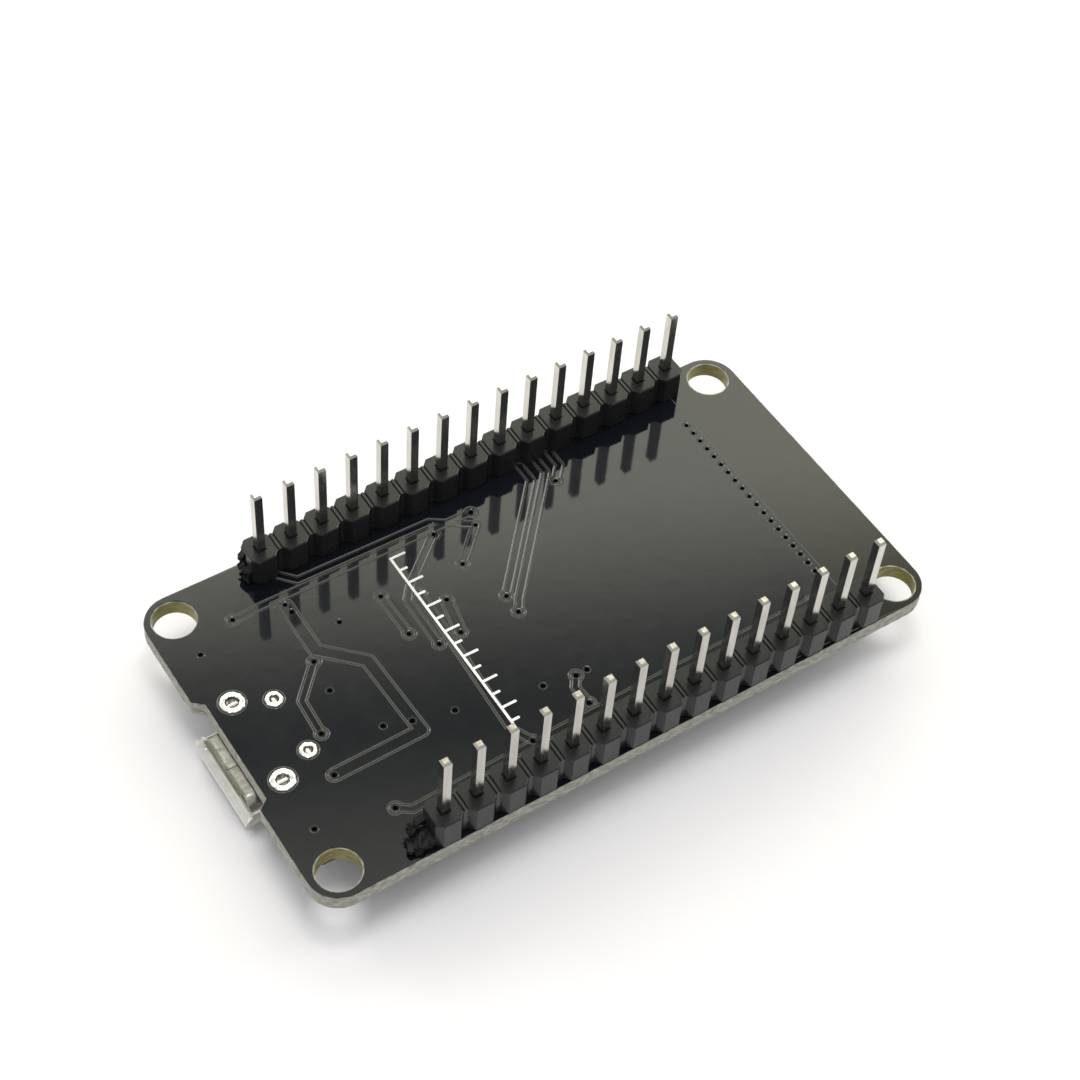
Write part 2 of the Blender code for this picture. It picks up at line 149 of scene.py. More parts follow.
# Solder side: half width and points of each route, then the vias that no route ends at
ROUTES = (
    (THIN, (-19.9, 9.7), (-17.4, 9.75), (0.0, 9.6)),
    (THIN, (-15.2, 11.6), (-14.2, 10.5), (-3.2, 10.35), (-0.3, 8.4), (-3.1, 5.75)),
    (WIDE, (-16.05, 9.0), (-16.1, 4.4), (-13.4, 1.75), (-13.15, -5.2), (-20.1, -5.3)),
    (THIN, (-16.7, 3.6), (-19.05, 1.1), (-19.2, -1.95)),
    (THIN, (-9.75, 6.2), (-9.7, 2.3)),
    (THIN, (-3.5, 9.2), (-7.35, 6.0), (-8.25, 4.9), (-8.3, 0.45)),
    (THIN, (-7.15, 5.0), (-7.75, -8.3), (-7.0, -9.85)),
    (0.3, (-5.8, 3.55), (-6.45, 0.55)),
    (THIN, (-1.9, 1.65), (5.6, 10.0), (5.6, 11.6)),
    (THIN, (-1.9, 0.0), (-1.2, 1.0), (7.0, 10.1), (7.0, 11.6)),
    (THIN, (8.3, 11.6), (8.3, 10.2), (7.2, 9.0)),
    (THIN, (-1.4, -6.8), (-2.0, -7.6), (-1.9, -9.2)),
    (THIN, (-17.85, -9.65), (-16.9, -10.3), (-5.35, -10.0), (4.0, -9.9), (17.3, -10.0)),
)
VIAS = (
    (-15.95, 8.2), (-13.3, -4.2), (-23.25, 8.15), (-16.95, 0.9), (-13.45, 5.7),
    (-15.25, -3.55), (-10.3, -4.95), (-3.9, -6.35), (-23.3, -8.3), (-0.45, -6.75), (-0.35, 8.4),
)

# Component side: routes, chip parts as (x, y, heading), printed frames as (low x, low y, high x, high y)
# and the width of the frames' lines
UNDER_ROUTES = (
    (WIDE, (-19.2, 1.6), (-17.9, 3.0), (-17.9, 8.2), (-15.9, 9.4)),
    (WIDE, (-13.4, 9.9), (-13.4, 11.6)),
    (THIN, (-14.6, -1.0), (-16.2, -0.4), (-17.3, -0.4)),
    (THIN, (-19.3, -0.5), (-18.2, -1.2), (-16.0, -2.6), (-14.6, -2.8)),
    (THIN, (-13.4, -4.6), (-13.4, -5.6), (-14.6, -6.0)),
    (THIN, (-11.0, -4.6), (-11.0, -5.3), (-10.4, -5.8)),
    (THIN, (-8.7, -1.0), (-8.1, -1.6), (-8.1, -9.2), (-6.4, -10.6), (-2.1, -11.7)),
    (THIN, (-8.7, 0.2), (-6.6, 2.9), (-3.6, 2.9), (-1.0, 5.4), (-0.6, 5.4)),
    (THIN, (-3.6, -4.2), (-1.4, -4.2), (-0.6, -3.2)),
    (THIN, (-3.6, -7.6), (-1.2, -9.6), (-0.7, -11.6)),
    (THIN, (-19.3, -7.4), (-18.6, -9.0), (-18.2, -10.8), (-16.0, -11.6)),
    (THIN, (-19.3, 8.9), (-18.0, 10.3), (-8.4, 10.4), (-7.2, 11.6)),
    (THIN, (-3.9, 7.6), (-2.2, 10.0), (1.8, 11.6)),
)
RESISTORS = (
    (-17.6, 0.4, 90), (-6.3, -1.2, 90), (-4.6, -1.2, 90), (-6.3, 1.5, 90), (-2.5, -5.6, 90),
    (-14.2, -10.0, 0), (-10.9, -10.0, 0), (-2.3, -8.6, 90),
)
CAPACITORS = (
    (-17.0, -2.6, 90), (-4.6, 1.5, 90), (-2.9, 1.5, 90), (-2.9, -1.2, 90), (-2.4, 5.9, 90),
    (-2.4, 8.7, 90), (-16.8, -10.0, 0),
)
PRINTED_FRAMES = (
    (-24.3, 6.1, -18.9, 9.9), (-24.3, -9.9, -18.9, -6.1), (-17.1, 1.7, -9.7, 9.8),
    (-8.9, 6.4, -4.3, 8.8), (-8.9, 3.2, -4.3, 5.6),
)
PRINT_LINE = 0.15

# Sky: an even base, and a window whose bands are (share of the way over its top, strength)
SKY_STRENGTH = 0.62
HORIZON_STRENGTH = 0.95
WINDOW_WAY = Vector((0.41, 0.545, 0.731)).normalized()
WINDOW_TOP = Vector((-0.297, -0.745, 0.598)).normalized()
WINDOW_STRENGTH = 3.2
WINDOW_BANDS = ((0.11, 0.94), (0.28, 0.53), (0.39, 0.36), (0.45, 0.24), (0.58, 0.10), (0.67, 0.11),
                (0.81, 0.25), (0.95, 0.38))


# Outlines in the plane

def arc(radius, centre, start, end, steps):
    """Points from start to end degrees, both included."""
    angles = [math.radians(start + (end - start) * i / steps) for i in range(steps + 1)]
    return [(centre[0] + radius * math.cos(a), centre[1] + radius * math.sin(a)) for a in angles]


def circle(radius, centre, steps):
    return arc(radius, centre, 0, 360, steps)[:-1]


def heading_way(heading):
    """Unit vector of a heading in degrees, counted from +X towards +Y."""
    return Vector((math.cos(math.radians(heading)), math.sin(math.radians(heading))))


def rectangle(length, width, radius=0.0, centre=(0, 0), steps=4):
    """Anticlockwise outline, with round corners where radius isn't 0."""
    x, y = length / 2 - radius, width / 2 - radius
    if radius == 0:
        corners = [(x, y), (-x, y), (-x, -y), (x, -y)]
    else:
        middles = [((x, y), 0), ((-x, y), 90), ((-x, -y), 180), ((x, -y), 270)]
        corners = [p for middle, start in middles for p in arc(radius, middle, start, start + 90, steps)]
    return [(px + centre[0], py + centre[1]) for px, py in corners]


def around_path(points, reach):
    """Outline at that distance round a bent line: sharp inside its bends, round outside them."""
    spots = [Vector(p) for p in points]
    heads = [(b - a).normalized() for a, b in zip(spots, spots[1:])]

    def corner(i, side):
        before, after = heads[max(i - 1, 0)], heads[min(i, len(heads) - 1)]
        turn = math.atan2(before.x * after.y - before.y * after.x, before.dot(after))
        if turn * side >= 0:
            mitre = Vector((-before.y - after.y, before.x + after.x)) / (1 + before.dot(after))
            return [tuple(spots[i] + side * reach * mitre)]
        square = Vector((-before.y, before.x)) * side * reach
        count = math.ceil(abs(turn) / 0.35)
        return [tuple(spots[i] + Matrix.Rotation(turn * k / count, 2) @ square) for k in range(count + 1)]

    def cap(centre, head):
        start = math.degrees(math.atan2(head.y, head.x)) - 90
        return arc(reach, centre, start, start + 180, 8)[1:-1]

    right, left = ([p for i in range(len(spots)) for p in corner(i, side)] for side in (-1, 1))
    return right + cap(spots[-1], heads[-1]) + left[::-1] + cap(spots[0], -heads[0])


def board_outline(inset=0.0):
    """The board's rounded rectangle, with the shallow recess for the receptacle in its left edge."""
    length, width = 2 * (BOARD_HALF_LENGTH - inset), 2 * (BOARD_HALF_WIDTH - inset)
    corners = rectangle(length, width, CORNER - inset, steps=12)
    half = len(corners) // 2
    left, recess = -BOARD_HALF_LENGTH + inset, -BOARD_HALF_LENGTH + NOTCH_DEPTH + inset
    high, low = NOTCH_Y + NOTCH_HALF + inset / 2, NOTCH_Y - NOTCH_HALF - inset / 2
    notch = [(left, high + NOTCH_SLOPE), (recess, high), (recess, low), (left, low - NOTCH_SLOPE)]
    return corners[:half] + notch + corners[half:]


def segment_distance(points, a, b):
    """Distance of each point from the line between a and b."""
    start, run = np.array(a), np.array(b) - np.array(a)
    share = np.clip(((points - start) @ run) / max(run @ run, 1e-12), 0, 1)
    return np.linalg.norm(points - start - share[:, None] * run, axis=1)


# Meshes, in millimetres

def bridged(bm, low, high):
    """The faces between two rings of as many points."""
    return [bm.faces.new((low[i - 1], low[i], high[i], high[i - 1])) for i in range(len(low))]


def arrangement(outline, holes, contours=()):
    """Points and triangles that fill an outline round its holes, with edges along the contours.

    The outline's and the holes' own points come first, in the order given."""
    coords, edges, faces = [], [], []
    for number, loop in enumerate((outline, *holes, *contours)):
        ids = range(len(coords), len(coords) + len(loop))
        coords += [Vector(p) for p in loop]
        if number <= len(holes):
            faces.append(list(ids))
        else:
            edges += [(ids[i - 1], ids[i]) for i in range(len(ids))]
    verts, _, triangles, _, _, owners = delaunay_2d_cdt(coords, edges, faces, 0, 1e-5, True)
    kept = [t for t, own in zip(triangles, owners) if 0 in own and max(own) == 0]
    return np.array([tuple(v) for v in verts]), kept


def relief(outline, holes, contours, height, underside, low_side=False):
    """A closed body with a height field as its outer face, creased along the contours.

    height(points) gives the outer z and underside(outer) the z behind each point. low_side turns the
    height field over, so that it faces down."""
    points, kept = arrangement(outline, holes, contours)
    outer = height(points)
    back = underside(outer)
    bm = bmesh.new()
    used = sorted({i for t in kept for i in t})
    upper = {i: bm.verts.new((*points[i], outer[i])) for i in used}
    lower = {i: bm.verts.new((*points[i], back[i])) for i in used}
    sides = {(t[i - 1], t[i]) for t in kept for i in range(len(t))}
    for t in kept:
        bm.faces.new([upper[i] for i in t])
        bm.faces.new([lower[i] for i in reversed(t)])
    for a, b in sides:
        if (b, a) not in sides:
            bm.faces.new((upper[b], upper[a], lower[a], lower[b]))
    if low_side:
        bmesh.ops.reverse_faces(bm, faces=bm.faces)
    return bm


def prism(outline, z_low, z_high, into=None):
    """An outline's upright body."""
    bm = into or bmesh.new()
    low = [bm.verts.new((x, y, z_low)) for x, y in outline]
    high = [bm.verts.new((x, y, z_high)) for x, y in outline]
    bm.faces.new(low[::-1])
    bm.faces.new(high)
    bridged(bm, low, high)
    return bm


def block(size, centre, bevel=0.0, into=None):
    """A box, with all its edges rounded where bevel isn't 0."""
    bm = into or bmesh.new()
    made = bmesh.ops.create_cube(bm, size=1.0)["verts"]
    bmesh.ops.scale(bm, vec=size, verts=made)
    bmesh.ops.translate(bm, vec=centre, verts=made)
    if bevel:
        edges = list(dict.fromkeys(e for v in made for e in v.link_edges))
        bmesh.ops.bevel(bm, geom=edges, offset=bevel, segments=2, affect="EDGES")
    return bm


def turned(profile, centre, steps, into=None, wobble=0.0, seed=0.0):
    """Turns (radius, z) points about an upright axis. Both ends are on the axis or closed by a cap."""
    bm = into or bmesh.new()
    loops = []
    for radius, z in profile:
        if radius == 0:
            loops.append([bm.verts.new((*centre, z))])
            continue
        ring = []
        for i in range(steps):
            angle = 2 * math.pi * i / steps
            reach = radius * (1 + wobble * noise.noise((3 * math.cos(angle), 3 * math.sin(angle), seed)))
            x, y = centre[0] + reach * math.cos(angle), centre[1] + reach * math.sin(angle)
            ring.append(bm.verts.new((x, y, z)))
        loops.append(ring)
    made = []
    for first, second in zip(loops, loops[1:]):
        for i in range(steps):
            corners = [loop[i + k] if len(loop) > 1 else loop[0] for loop, k in
                       ((first, -1), (first, 0), (second, 0), (second, -1))]
            made.append(bm.faces.new(list(dict.fromkeys(corners))))
    for end in (loops[0], loops[-1]):
        if len(end) > 1:
            made.append(bm.faces.new(end))
    bmesh.ops.recalc_face_normals(bm, faces=made)
    return bm


def lofted(levels):
    """A closed body through (outline, z) levels that all have the same number of points."""
    bm = bmesh.new()
    rings = [[bm.verts.new((x, y, z)) for x, y in outline] for outline, z in levels]
    made = [bm.faces.new(rings[0]), bm.faces.new(rings[-1])]
    for low, high in zip(rings, rings[1:]):
        made += bridged(bm, low, high)
    bmesh.ops.recalc_face_normals(bm, faces=made)
    return bm


def moulded(size, place, bevel=0.08):
    """A moulded package: sides that lean in from its parting line, and rounded top edges."""
    length, width, height = size
    low, draft = SEAT, 0.1
    top = low + height
    sections = ((draft, low), (0.0, low + 0.42 * height), (0.8 * draft, top - bevel),
                (0.8 * draft + 0.3 * bevel, top - 0.3 * bevel), (0.8 * draft + bevel, top))
    return lofted([(rectangle(length - 2 * inset, width - 2 * inset, 0.12, place, 3), z)
                   for inset, z in sections])


def bent_strip(profile, width, thickness, place, heading, bm):
    """Adds a strip bent in an upright plane, through (outwards, height) points. heading is in degrees."""
    out = heading_way(heading)
    across = Vector((-out.y, out.x)) * width / 2
    spots = [Vector(p) for p in profile]
    heads = [(b - a).normalized() for a, b in zip(spots, spots[1:])]
    rings = []
    for i, spot in enumerate(spots):
        before, after = heads[max(i - 1, 0)], heads[min(i, len(heads) - 1)]
        side = Vector((-before.y - after.y, before.x + after.x)) * thickness / 2 / (1 + before.dot(after))
        corners = [(spot + sign * side, turn * across)
                   for sign, turn in ((1, -1), (1, 1), (-1, 1), (-1, -1))]
        rings.append([bm.verts.new((*(Vector(place) + out * at.x + shift), at.y)) for at, shift in corners])
    made = [bm.faces.new(rings[0]), bm.faces.new(rings[-1])]
    for first, second in zip(rings, rings[1:]):
        made += bridged(bm, first, second)
    bmesh.ops.recalc_face_normals(bm, faces=made)


def solder(place, length, width, height, heading, bm):
    """Adds a soldered pad with round corners: tall beside the part, thin at the outer end."""
    steps = 6
    turn = Matrix.Rotation(math.radians(heading), 2)
    rows = []
    for i in range(steps + 1):
        u = 2 * i / steps - 1
        row = []
        for j in range(steps + 1):
            v = 2 * j / steps - 1
            across = Vector((u * math.sqrt(1 - 0.3 * v * v) * length, v * math.sqrt(1 - 0.3 * u * u) * width))
            flat = Vector(place) + turn @ across / 2
            rim = max(abs(u), abs(v)) == 1
            rise = 0.03 + height * ((1 - u) / 2) ** 1.5 * (1 - v ** 4)
            row.append(bm.verts.new((*flat, -0.01 if rim else rise)))
        rows.append(row)
    made = [bm.faces.new((rows[i][j], rows[i + 1][j], rows[i + 1][j + 1], rows[i][j + 1]))
            for i in range(steps) for j in range(steps)]
    rim = rows[0][:-1] + [row[-1] for row in rows[:-1]] + rows[-1][:0:-1] + [row[0] for row in rows[:0:-1]]
    made.append(bm.faces.new(rim))
    bmesh.ops.recalc_face_normals(bm, faces=made)


def sheet(outer, inner, kept):
    """A closed sheet between two grids of points that meet round their second index.

    kept(row, column) says which cells are metal; the others are open."""
    bm = bmesh.new()
    rows, columns = len(outer) - 1, len(outer[0])
    metal = {(i, j) for i in range(rows) for j in range(columns) if kept(i, j)}
    skins = ({}, {})

    def vert(skin, i, j):
        key = (i, j % columns)
        if key not in skins[skin]:
            skins[skin][key] = bm.verts.new((outer, inner)[skin][i][j % columns])
        return skins[skin][key]

    for i, j in sorted(metal):
        ring = ((i, j), (i, j + 1), (i + 1, j + 1), (i + 1, j))
        bm.faces.new([vert(0, *p) for p in ring])
        bm.faces.new([vert(1, *p) for p in ring[::-1]])
        beside = ((i - 1, j), (i, (j + 1) % columns), (i + 1, j), (i, (j - 1) % columns))
        for k, cell in enumerate(beside):
            if cell not in metal:
                a, b = ring[k], ring[(k + 1) % 4]
                bm.faces.new((vert(0, *b), vert(0, *a), vert(1, *a), vert(1, *b)))
    bmesh.ops.recalc_face_normals(bm, faces=bm.faces)
    return bm


def joined(*parts):
    """One mesh of several, numbered in order for their materials."""
    whole = bmesh.new()
    for number, bm in enumerate(parts):
        for face in bm.faces:
            face.material_index = number
        mesh = bpy.data.meshes.new("part")
        bm.to_mesh(mesh)
        bm.free()
        whole.from_mesh(mesh)
        bpy.data.meshes.remove(mesh)
    return whole


# Pieces

def piece(name, bm, looks, slot, replaces=(), smooth=30):
    """Makes the mesh an object in the row frame, riding on the board. Edges over smooth degrees stay sharp.

    looks names its material, or one for each of its parts."""
    mesh = bpy.data.meshes.new(name)
    bm.to_mesh(mesh)
    bm.free()
    mesh.transform(Matrix.Translation(ORIGIN) @ Matrix.Scale(MM, 4))
    mesh.shade_smooth()
    mesh.set_sharp_from_angle(angle=math.radians(smooth))
    for look in [looks] if isinstance(looks, str) else looks:
        mesh.materials.append(LOOKS[look])
    made = bpy.data.objects.new(name, mesh)
    bpy.context.scene.collection.objects.link(made)
    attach(made, "board")
    if replaces:
        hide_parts(*replaces)
    return made


def low_piece(name, bm, looks, slot, **settings):
    """A piece whose mesh is modelled upright on the component side, turned over onto the board."""
    for vert in bm.verts:
        vert.co.z = COMPONENT_SIDE - vert.co.z
    bmesh.ops.reverse_faces(bm, faces=bm.faces)
    return piece(name, bm, looks, slot, **settings)


def dress(node, look, bevel):
    """Gives a carried-over CAD node its finish and rounds its edges, leaving its mesh as it is."""
    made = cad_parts[node]
    made.data.materials.clear()
    made.data.materials.append(LOOKS[look])
    rounding = made.modifiers.new("edges", "BEVEL")
    rounding.width = bevel * MM
    rounding.segments = 2
    rounding.limit_method = "ANGLE"
    rounding.angle_limit = math.radians(25)


# Materials

def node(tree, kind, links=None, **settings):
    """Adds a shader node. links holds a value or another node's output for each named input."""
    made = tree.nodes.new("ShaderNode" + kind)
    for key, value in settings.items():
        setattr(made, key, value)
    for key, value in (links or {}).items():
        if isinstance(value, bpy.types.NodeSocket):
            tree.links.new(value, made.inputs[key])
        else:
            made.inputs[key].default_value = value
    return made


def mixed(tree, share, first, second):
    """One colour into another by share. Colours are (r, g, b) or another node's output."""
    made = node(tree, "Mix", {"Factor": share}, data_type="RGBA")
    for number, value in ((6, first), (7, second)):
        if isinstance(value, bpy.types.NodeSocket):
            tree.links.new(value, made.inputs[number])
        else:
            made.inputs[number].default_value = (*value, 1.0)
    return made.outputs[2]


def spread(tree, value, low, high, to_low=0.0, to_high=1.0):
    """Maps low..high to to_low..to_high, and holds it outside."""
    links = {"Value": value, "From Min": low, "From Max": high, "To Min": to_low, "To Max": to_high}
    return node(tree, "MapRange", links).outputs[0]


def surface(name, dark, light, rough, patch, grain, bump, metal=0.0, wear=None, stretch=(1, 1, 1),
            coat=0.0, shine=0.5):
    """A material of two tones in patches, with a finer grain in roughness and bump, and worn edges.

    patch and grain are features per millimetre, bump is in micrometres, wear is the edges' colour."""
    made = bpy.data.materials.new(name)
    made.use_nodes = True
    tree = made.node_tree
    shader = tree.nodes["Principled BSDF"]
    place = node(tree, "TexCoord").outputs["Object"]
    scale = [s / MM for s in stretch]
    where = node(tree, "Mapping", {"Vector": place, "Scale": scale}).outputs[0]
    patches = node(tree, "TexNoise", {"Vector": where, "Scale": patch, "Detail": 5.0}).outputs["Fac"]
    fine = node(tree, "TexNoise", {"Vector": where, "Scale": grain, "Detail": 6.0}).outputs["Fac"]
    tone = mixed(tree, spread(tree, patches, 0.35, 0.65), dark, light)
    if wear:
        raised = node(tree, "NewGeometry").outputs["Pointiness"]
        tone = mixed(tree, spread(tree, raised, 0.52, 0.62, 0.0, 0.8), tone, wear)
    tree.links.new(tone, shader.inputs["Base Color"])
    tree.links.new(spread(tree, fine, 0.3, 0.7, *rough), shader.inputs["Roughness"])
    shader.inputs["Metallic"].default_value = metal
    shader.inputs["Coat Weight"].default_value = coat
    shader.inputs["Specular IOR Level"].default_value = shine
    links = {"Height": fine, "Strength": 1.0, "Distance": bump * 1e-6}
    tree.links.new(node(tree, "Bump", links).outputs[0], shader.inputs["Normal"])
    return made


def retouched(made, share_of, tone):
    """Blends another tone into a material where share_of(tree) says."""
    tree = made.node_tree
    base = tree.nodes["Principled BSDF"].inputs["Base Color"]
    tree.links.new(mixed(tree, share_of(tree), base.links[0].from_socket, tone), base)
    return made


def tilted(tree, steep, flat):
    """1 on faces whose upright share lies between the (low, high) pairs steep and flat, and 0 outside."""
    facing = node(tree, "SeparateXYZ", {"Vector": node(tree, "NewGeometry").outputs["True Normal"]})
    level = node(tree, "Math", {0: facing.outputs["Z"]}, operation="ABSOLUTE").outputs[0]
    shares = {0: spread(tree, level, *steep), 1: spread(tree, level, *flat, 1.0, 0.0)}
    return node(tree, "Math", shares, operation="MULTIPLY").outputs[0]


def bare_share(tree):
    """1 down in the gaps between the copper, and 0 over it."""
    height = node(tree, "SeparateXYZ", {"Vector": node(tree, "TexCoord").outputs["Object"]}).outputs["Z"]
    return spread(tree, height, ORIGIN.z - RELIEF * MM, ORIGIN.z - 0.3 * RELIEF * MM, 1.0, 0.0)


def step_highlight_share(tree):
    """Where the mask steps down over copper's edges; the paler tone blended there is partly the thin mask's
    own colour and partly a painted highlight.
    """
    share = tilted(tree, (0.55, 0.66), (0.84, 0.98))
    return node(tree, "Math", {0: share, 1: STEP_HIGHLIGHT_SHARE}, operation="MULTIPLY").outputs[0]


def mask_finish():
    """Black solder mask: brownish over bare laminate, thin and paler where it steps over copper's edges, that
    paler tone partly real and partly a painted highlight.
    """
    made = surface("black_mask", (0.003, 0.0041, 0.0072), (0.0053, 0.0066, 0.0098), (0.05, 0.085),
                   patch=0.12, grain=0.8, bump=2.4)
    retouched(made, bare_share, (0.008, 0.008, 0.0065))
    return retouched(made, step_highlight_share, STEP_TONE_AND_HIGHLIGHT)


def pin_finish():
    """Bright tin along the pin, with painted shade as a darker tone on the slopes of its pressed point."""
    made = surface("tinned_brass", (0.54, 0.525, 0.47), (0.66, 0.645, 0.60), (0.12, 0.24), metal=1.0,
                   patch=0.8, grain=3.0, bump=0.8, stretch=(3, 3, 0.4))
    # Painted shade: a darker tone on faces that slope, chosen by which way each face points
    return retouched(made, lambda tree: tilted(tree, (0.1, 0.25), (0.9, 0.97)), (0.36, 0.345, 0.305))


LOOKS = {
    "mask": mask_finish(),
    "edge": surface("fibreglass_edge", (0.14, 0.137, 0.11), (0.46, 0.45, 0.395), (0.6, 0.85),
                    patch=4.5, grain=9.0, bump=28.0, stretch=(0.45, 0.45, 3)),
    "bore": surface("fibreglass_bore", (0.16, 0.14, 0.03), (0.36, 0.32, 0.10), (0.35, 0.6),
                    patch=1.4, grain=7.0, bump=9.0, stretch=(1, 1, 4)),
    "plastic": surface("header_moulding", (0.004, 0.004, 0.0045), (0.007, 0.007, 0.007), (0.2, 0.3),
                       patch=0.9, grain=16.0, bump=4.0, wear=(0.02, 0.02, 0.02), shine=0.33),
    # Torn plastic: rougher and less shiny than the moulding, and darker by painted shade
    "torn": surface("torn_moulding_painted_shade", (0.0016, 0.0016, 0.0018), (0.004, 0.004, 0.004), (0.3, 0.6),
                    patch=1.5, grain=9.0, bump=30.0, wear=(0.012, 0.012, 0.012), shine=0.22),
    "pin": pin_finish(),
    "solder": surface("solder_tin", (0.66, 0.66, 0.65), (0.88, 0.88, 0.87), (0.12, 0.32), metal=1.0,
                      patch=1.2, grain=3.5, bump=6.0),
    "print": surface("white_ink", (0.66, 0.66, 0.65), (0.84, 0.84, 0.82), (0.45, 0.65),
                     patch=1.5, grain=14.0, bump=5.0),
    "usb_steel": surface("receptacle_steel", (0.74, 0.725, 0.66), (0.88, 0.87, 0.81), (0.16, 0.28),
                         metal=1.0, patch=0.5, grain=3.0, bump=0.8, stretch=(0.4, 1, 1)),
    "insulator": surface("receptacle_insulator", (0.02, 0.02, 0.022), (0.034, 0.034, 0.035),
                         (0.4, 0.6), patch=1.0, grain=12.0, bump=4.0),
    "dull_tin": surface("dull_solder", (0.26, 0.26, 0.25), (0.5, 0.5, 0.48), (0.3, 0.5), metal=1.0,
                        patch=2.5, grain=6.0, bump=8.0),
    "bowl": surface("fluxed_solder", (0.07, 0.064, 0.05), (0.4, 0.385, 0.34), (0.24, 0.44), metal=1.0,
                    patch=3.0, grain=7.0, bump=10.0),
    "module_mask": surface("module_mask", (0.006, 0.0065, 0.007), (0.011, 0.0115, 0.012), (0.16, 0.24),
                           patch=0.3, grain=2.0, bump=2.5, wear=(0.09, 0.085, 0.07)),
    "antenna": surface("masked_antenna", (0.016, 0.0145, 0.011), (0.026, 0.024, 0.018), (0.14, 0.22),
                       patch=0.5, grain=3.0, bump=2.0),
    "gold": surface("gold_plate", (0.72, 0.50, 0.20), (0.88, 0.66, 0.32), (0.16, 0.34), metal=1.0,
                    patch=1.5, grain=8.0, bump=3.0),
    "shield": surface("shield_tinplate", (0.60, 0.60, 0.58), (0.73, 0.73, 0.71), (0.2, 0.34), metal=1.0,
                      patch=0.25, grain=5.0, bump=2.5, stretch=(0.35, 2.5, 2.5), wear=(0.82, 0.82, 0.8)),
    "resin": surface("package_resin", (0.014, 0.014, 0.015), (0.025, 0.025, 0.026), (0.42, 0.62),
                     patch=0.8, grain=22.0, bump=5.0, wear=(0.05, 0.05, 0.05)),
    "tantalum": surface("tantalum_resin", (0.66, 0.36, 0.05), (0.80, 0.47, 0.09), (0.34, 0.5),
                        patch=1.0, grain=14.0, bump=4.0),
    "band": surface("polarity_band", (0.20, 0.06, 0.012), (0.27, 0.09, 0.02), (0.4, 0.55),
                    patch=2.0, grain=12.0, bump=3.0),
    "resistor": surface("resistor_glaze", (0.012, 0.012, 0.014), (0.022, 0.022, 0.024), (0.18, 0.32),
                        patch=2.0, grain=9.0, bump=3.0),
    "ceramic": surface("capacitor_ceramic", (0.30, 0.19, 0.10), (0.42, 0.28, 0.16), (0.4, 0.58),
                       patch=2.0, grain=14.0, bump=4.0),
    "alumina": surface("white_ceramic", (0.66, 0.66, 0.62), (0.80, 0.80, 0.77), (0.4, 0.6),
                       patch=2.0, grain=14.0, bump=4.0),
    "red_lens": surface("red_lens", (0.42, 0.02, 0.012), (0.62, 0.05, 0.03), (0.12, 0.22),
                        patch=1.5, grain=6.0, bump=2.0, coat=0.6),
    "blue_lens": surface("blue_lens", (0.012, 0.04, 0.36), (0.03, 0.09, 0.55), (0.12, 0.22),
                         patch=1.5, grain=6.0, bump=2.0, coat=0.6),
    "button": surface("button_moulding", (0.016, 0.016, 0.017), (0.03, 0.03, 0.031), (0.38, 0.56),
                      patch=0.9, grain=15.0, bump=4.0, wear=(0.06, 0.06, 0.06)),
    "cap": surface("button_cap", (0.022, 0.021, 0.02), (0.04, 0.038, 0.036), (0.3, 0.46),
                   patch=1.2, grain=12.0, bump=4.0, wear=(0.08, 0.08, 0.078)),
    "sheet": surface("button_sheet", (0.58, 0.575, 0.55), (0.74, 0.735, 0.71), (0.2, 0.36), metal=1.0,
                     patch=0.7, grain=7.0, bump=3.0, stretch=(0.6, 2, 2)),
}


# Camera, floor and light

def seen_from(azimuth, elevation):
    """Unit vector towards a viewer. Azimuth 0 is in front of the near row, and grows towards +X."""
    a, e = math.radians(azimuth), math.radians(elevation)
    return Vector((math.sin(a) * math.cos(e), -math.cos(a) * math.cos(e), math.sin(e)))


def make_camera():
    """Looks down on the solder side from the near left, a little rolled."""
    azimuth, roll = -37.05, math.radians(5.35)
    distance, target = 159.4 * MM, ORIGIN + Vector((3.03, 4.77, 0)) * MM
    back = seen_from(azimuth, 51.27)
    level = Vector((*heading_way(azimuth), 0))
    upright = back.cross(level)
    right = level * math.cos(roll) + upright * math.sin(roll)
    up = upright * math.cos(roll) - level * math.sin(roll)
    data = bpy.data.cameras.new("camera")
    data.sensor_width = 36.0
    data.lens = 71.7
    data.clip_start, data.clip_end = 0.005, 10.0
    made = bpy.data.objects.new("camera", data)
    bpy.context.scene.collection.objects.link(made)
    turn = Matrix((right, up, back)).transposed().to_4x4()
    made.matrix_world = Matrix.Translation(target + back * distance) @ turn
    bpy.context.scene.camera = made


def make_floor():
    """A wide white sheet, just under the board."""
    bm = bmesh.new()
    bmesh.ops.create_grid(bm, x_segments=8, y_segments=8, size=3.0)
    mesh = bpy.data.meshes.new("floor")
    bm.to_mesh(mesh)
    bm.free()
    finish = surface("floor_white", (0.80, 0.784, 0.797), (0.82, 0.804, 0.817), (0.7, 0.8),
                     patch=0.01, grain=0.5, bump=1.0)
    mesh.materials.append(finish)
    made = bpy.data.objects.new("floor", mesh)
    made.location = (0, 0, -0.0001)
    bpy.context.scene.collection.objects.link(made)


def soft_light(name, azimuth, elevation, distance, size, power, colour=(1, 1, 1)):
    """A square soft box that faces the board. Azimuth is counted as for the camera."""
    back = seen_from(azimuth, elevation)
    data = bpy.data.lights.new(name, "AREA")
    data.shape = "SQUARE"
    data.size = size
    data.energy = power
    data.color = colour
    made = bpy.data.objects.new(name, data)
    made.location = back * distance
    made.rotation_mode = "QUATERNION"
    made.rotation_quaternion = back.to_track_quat("Z", "Y")
    bpy.context.scene.collection.objects.link(made)


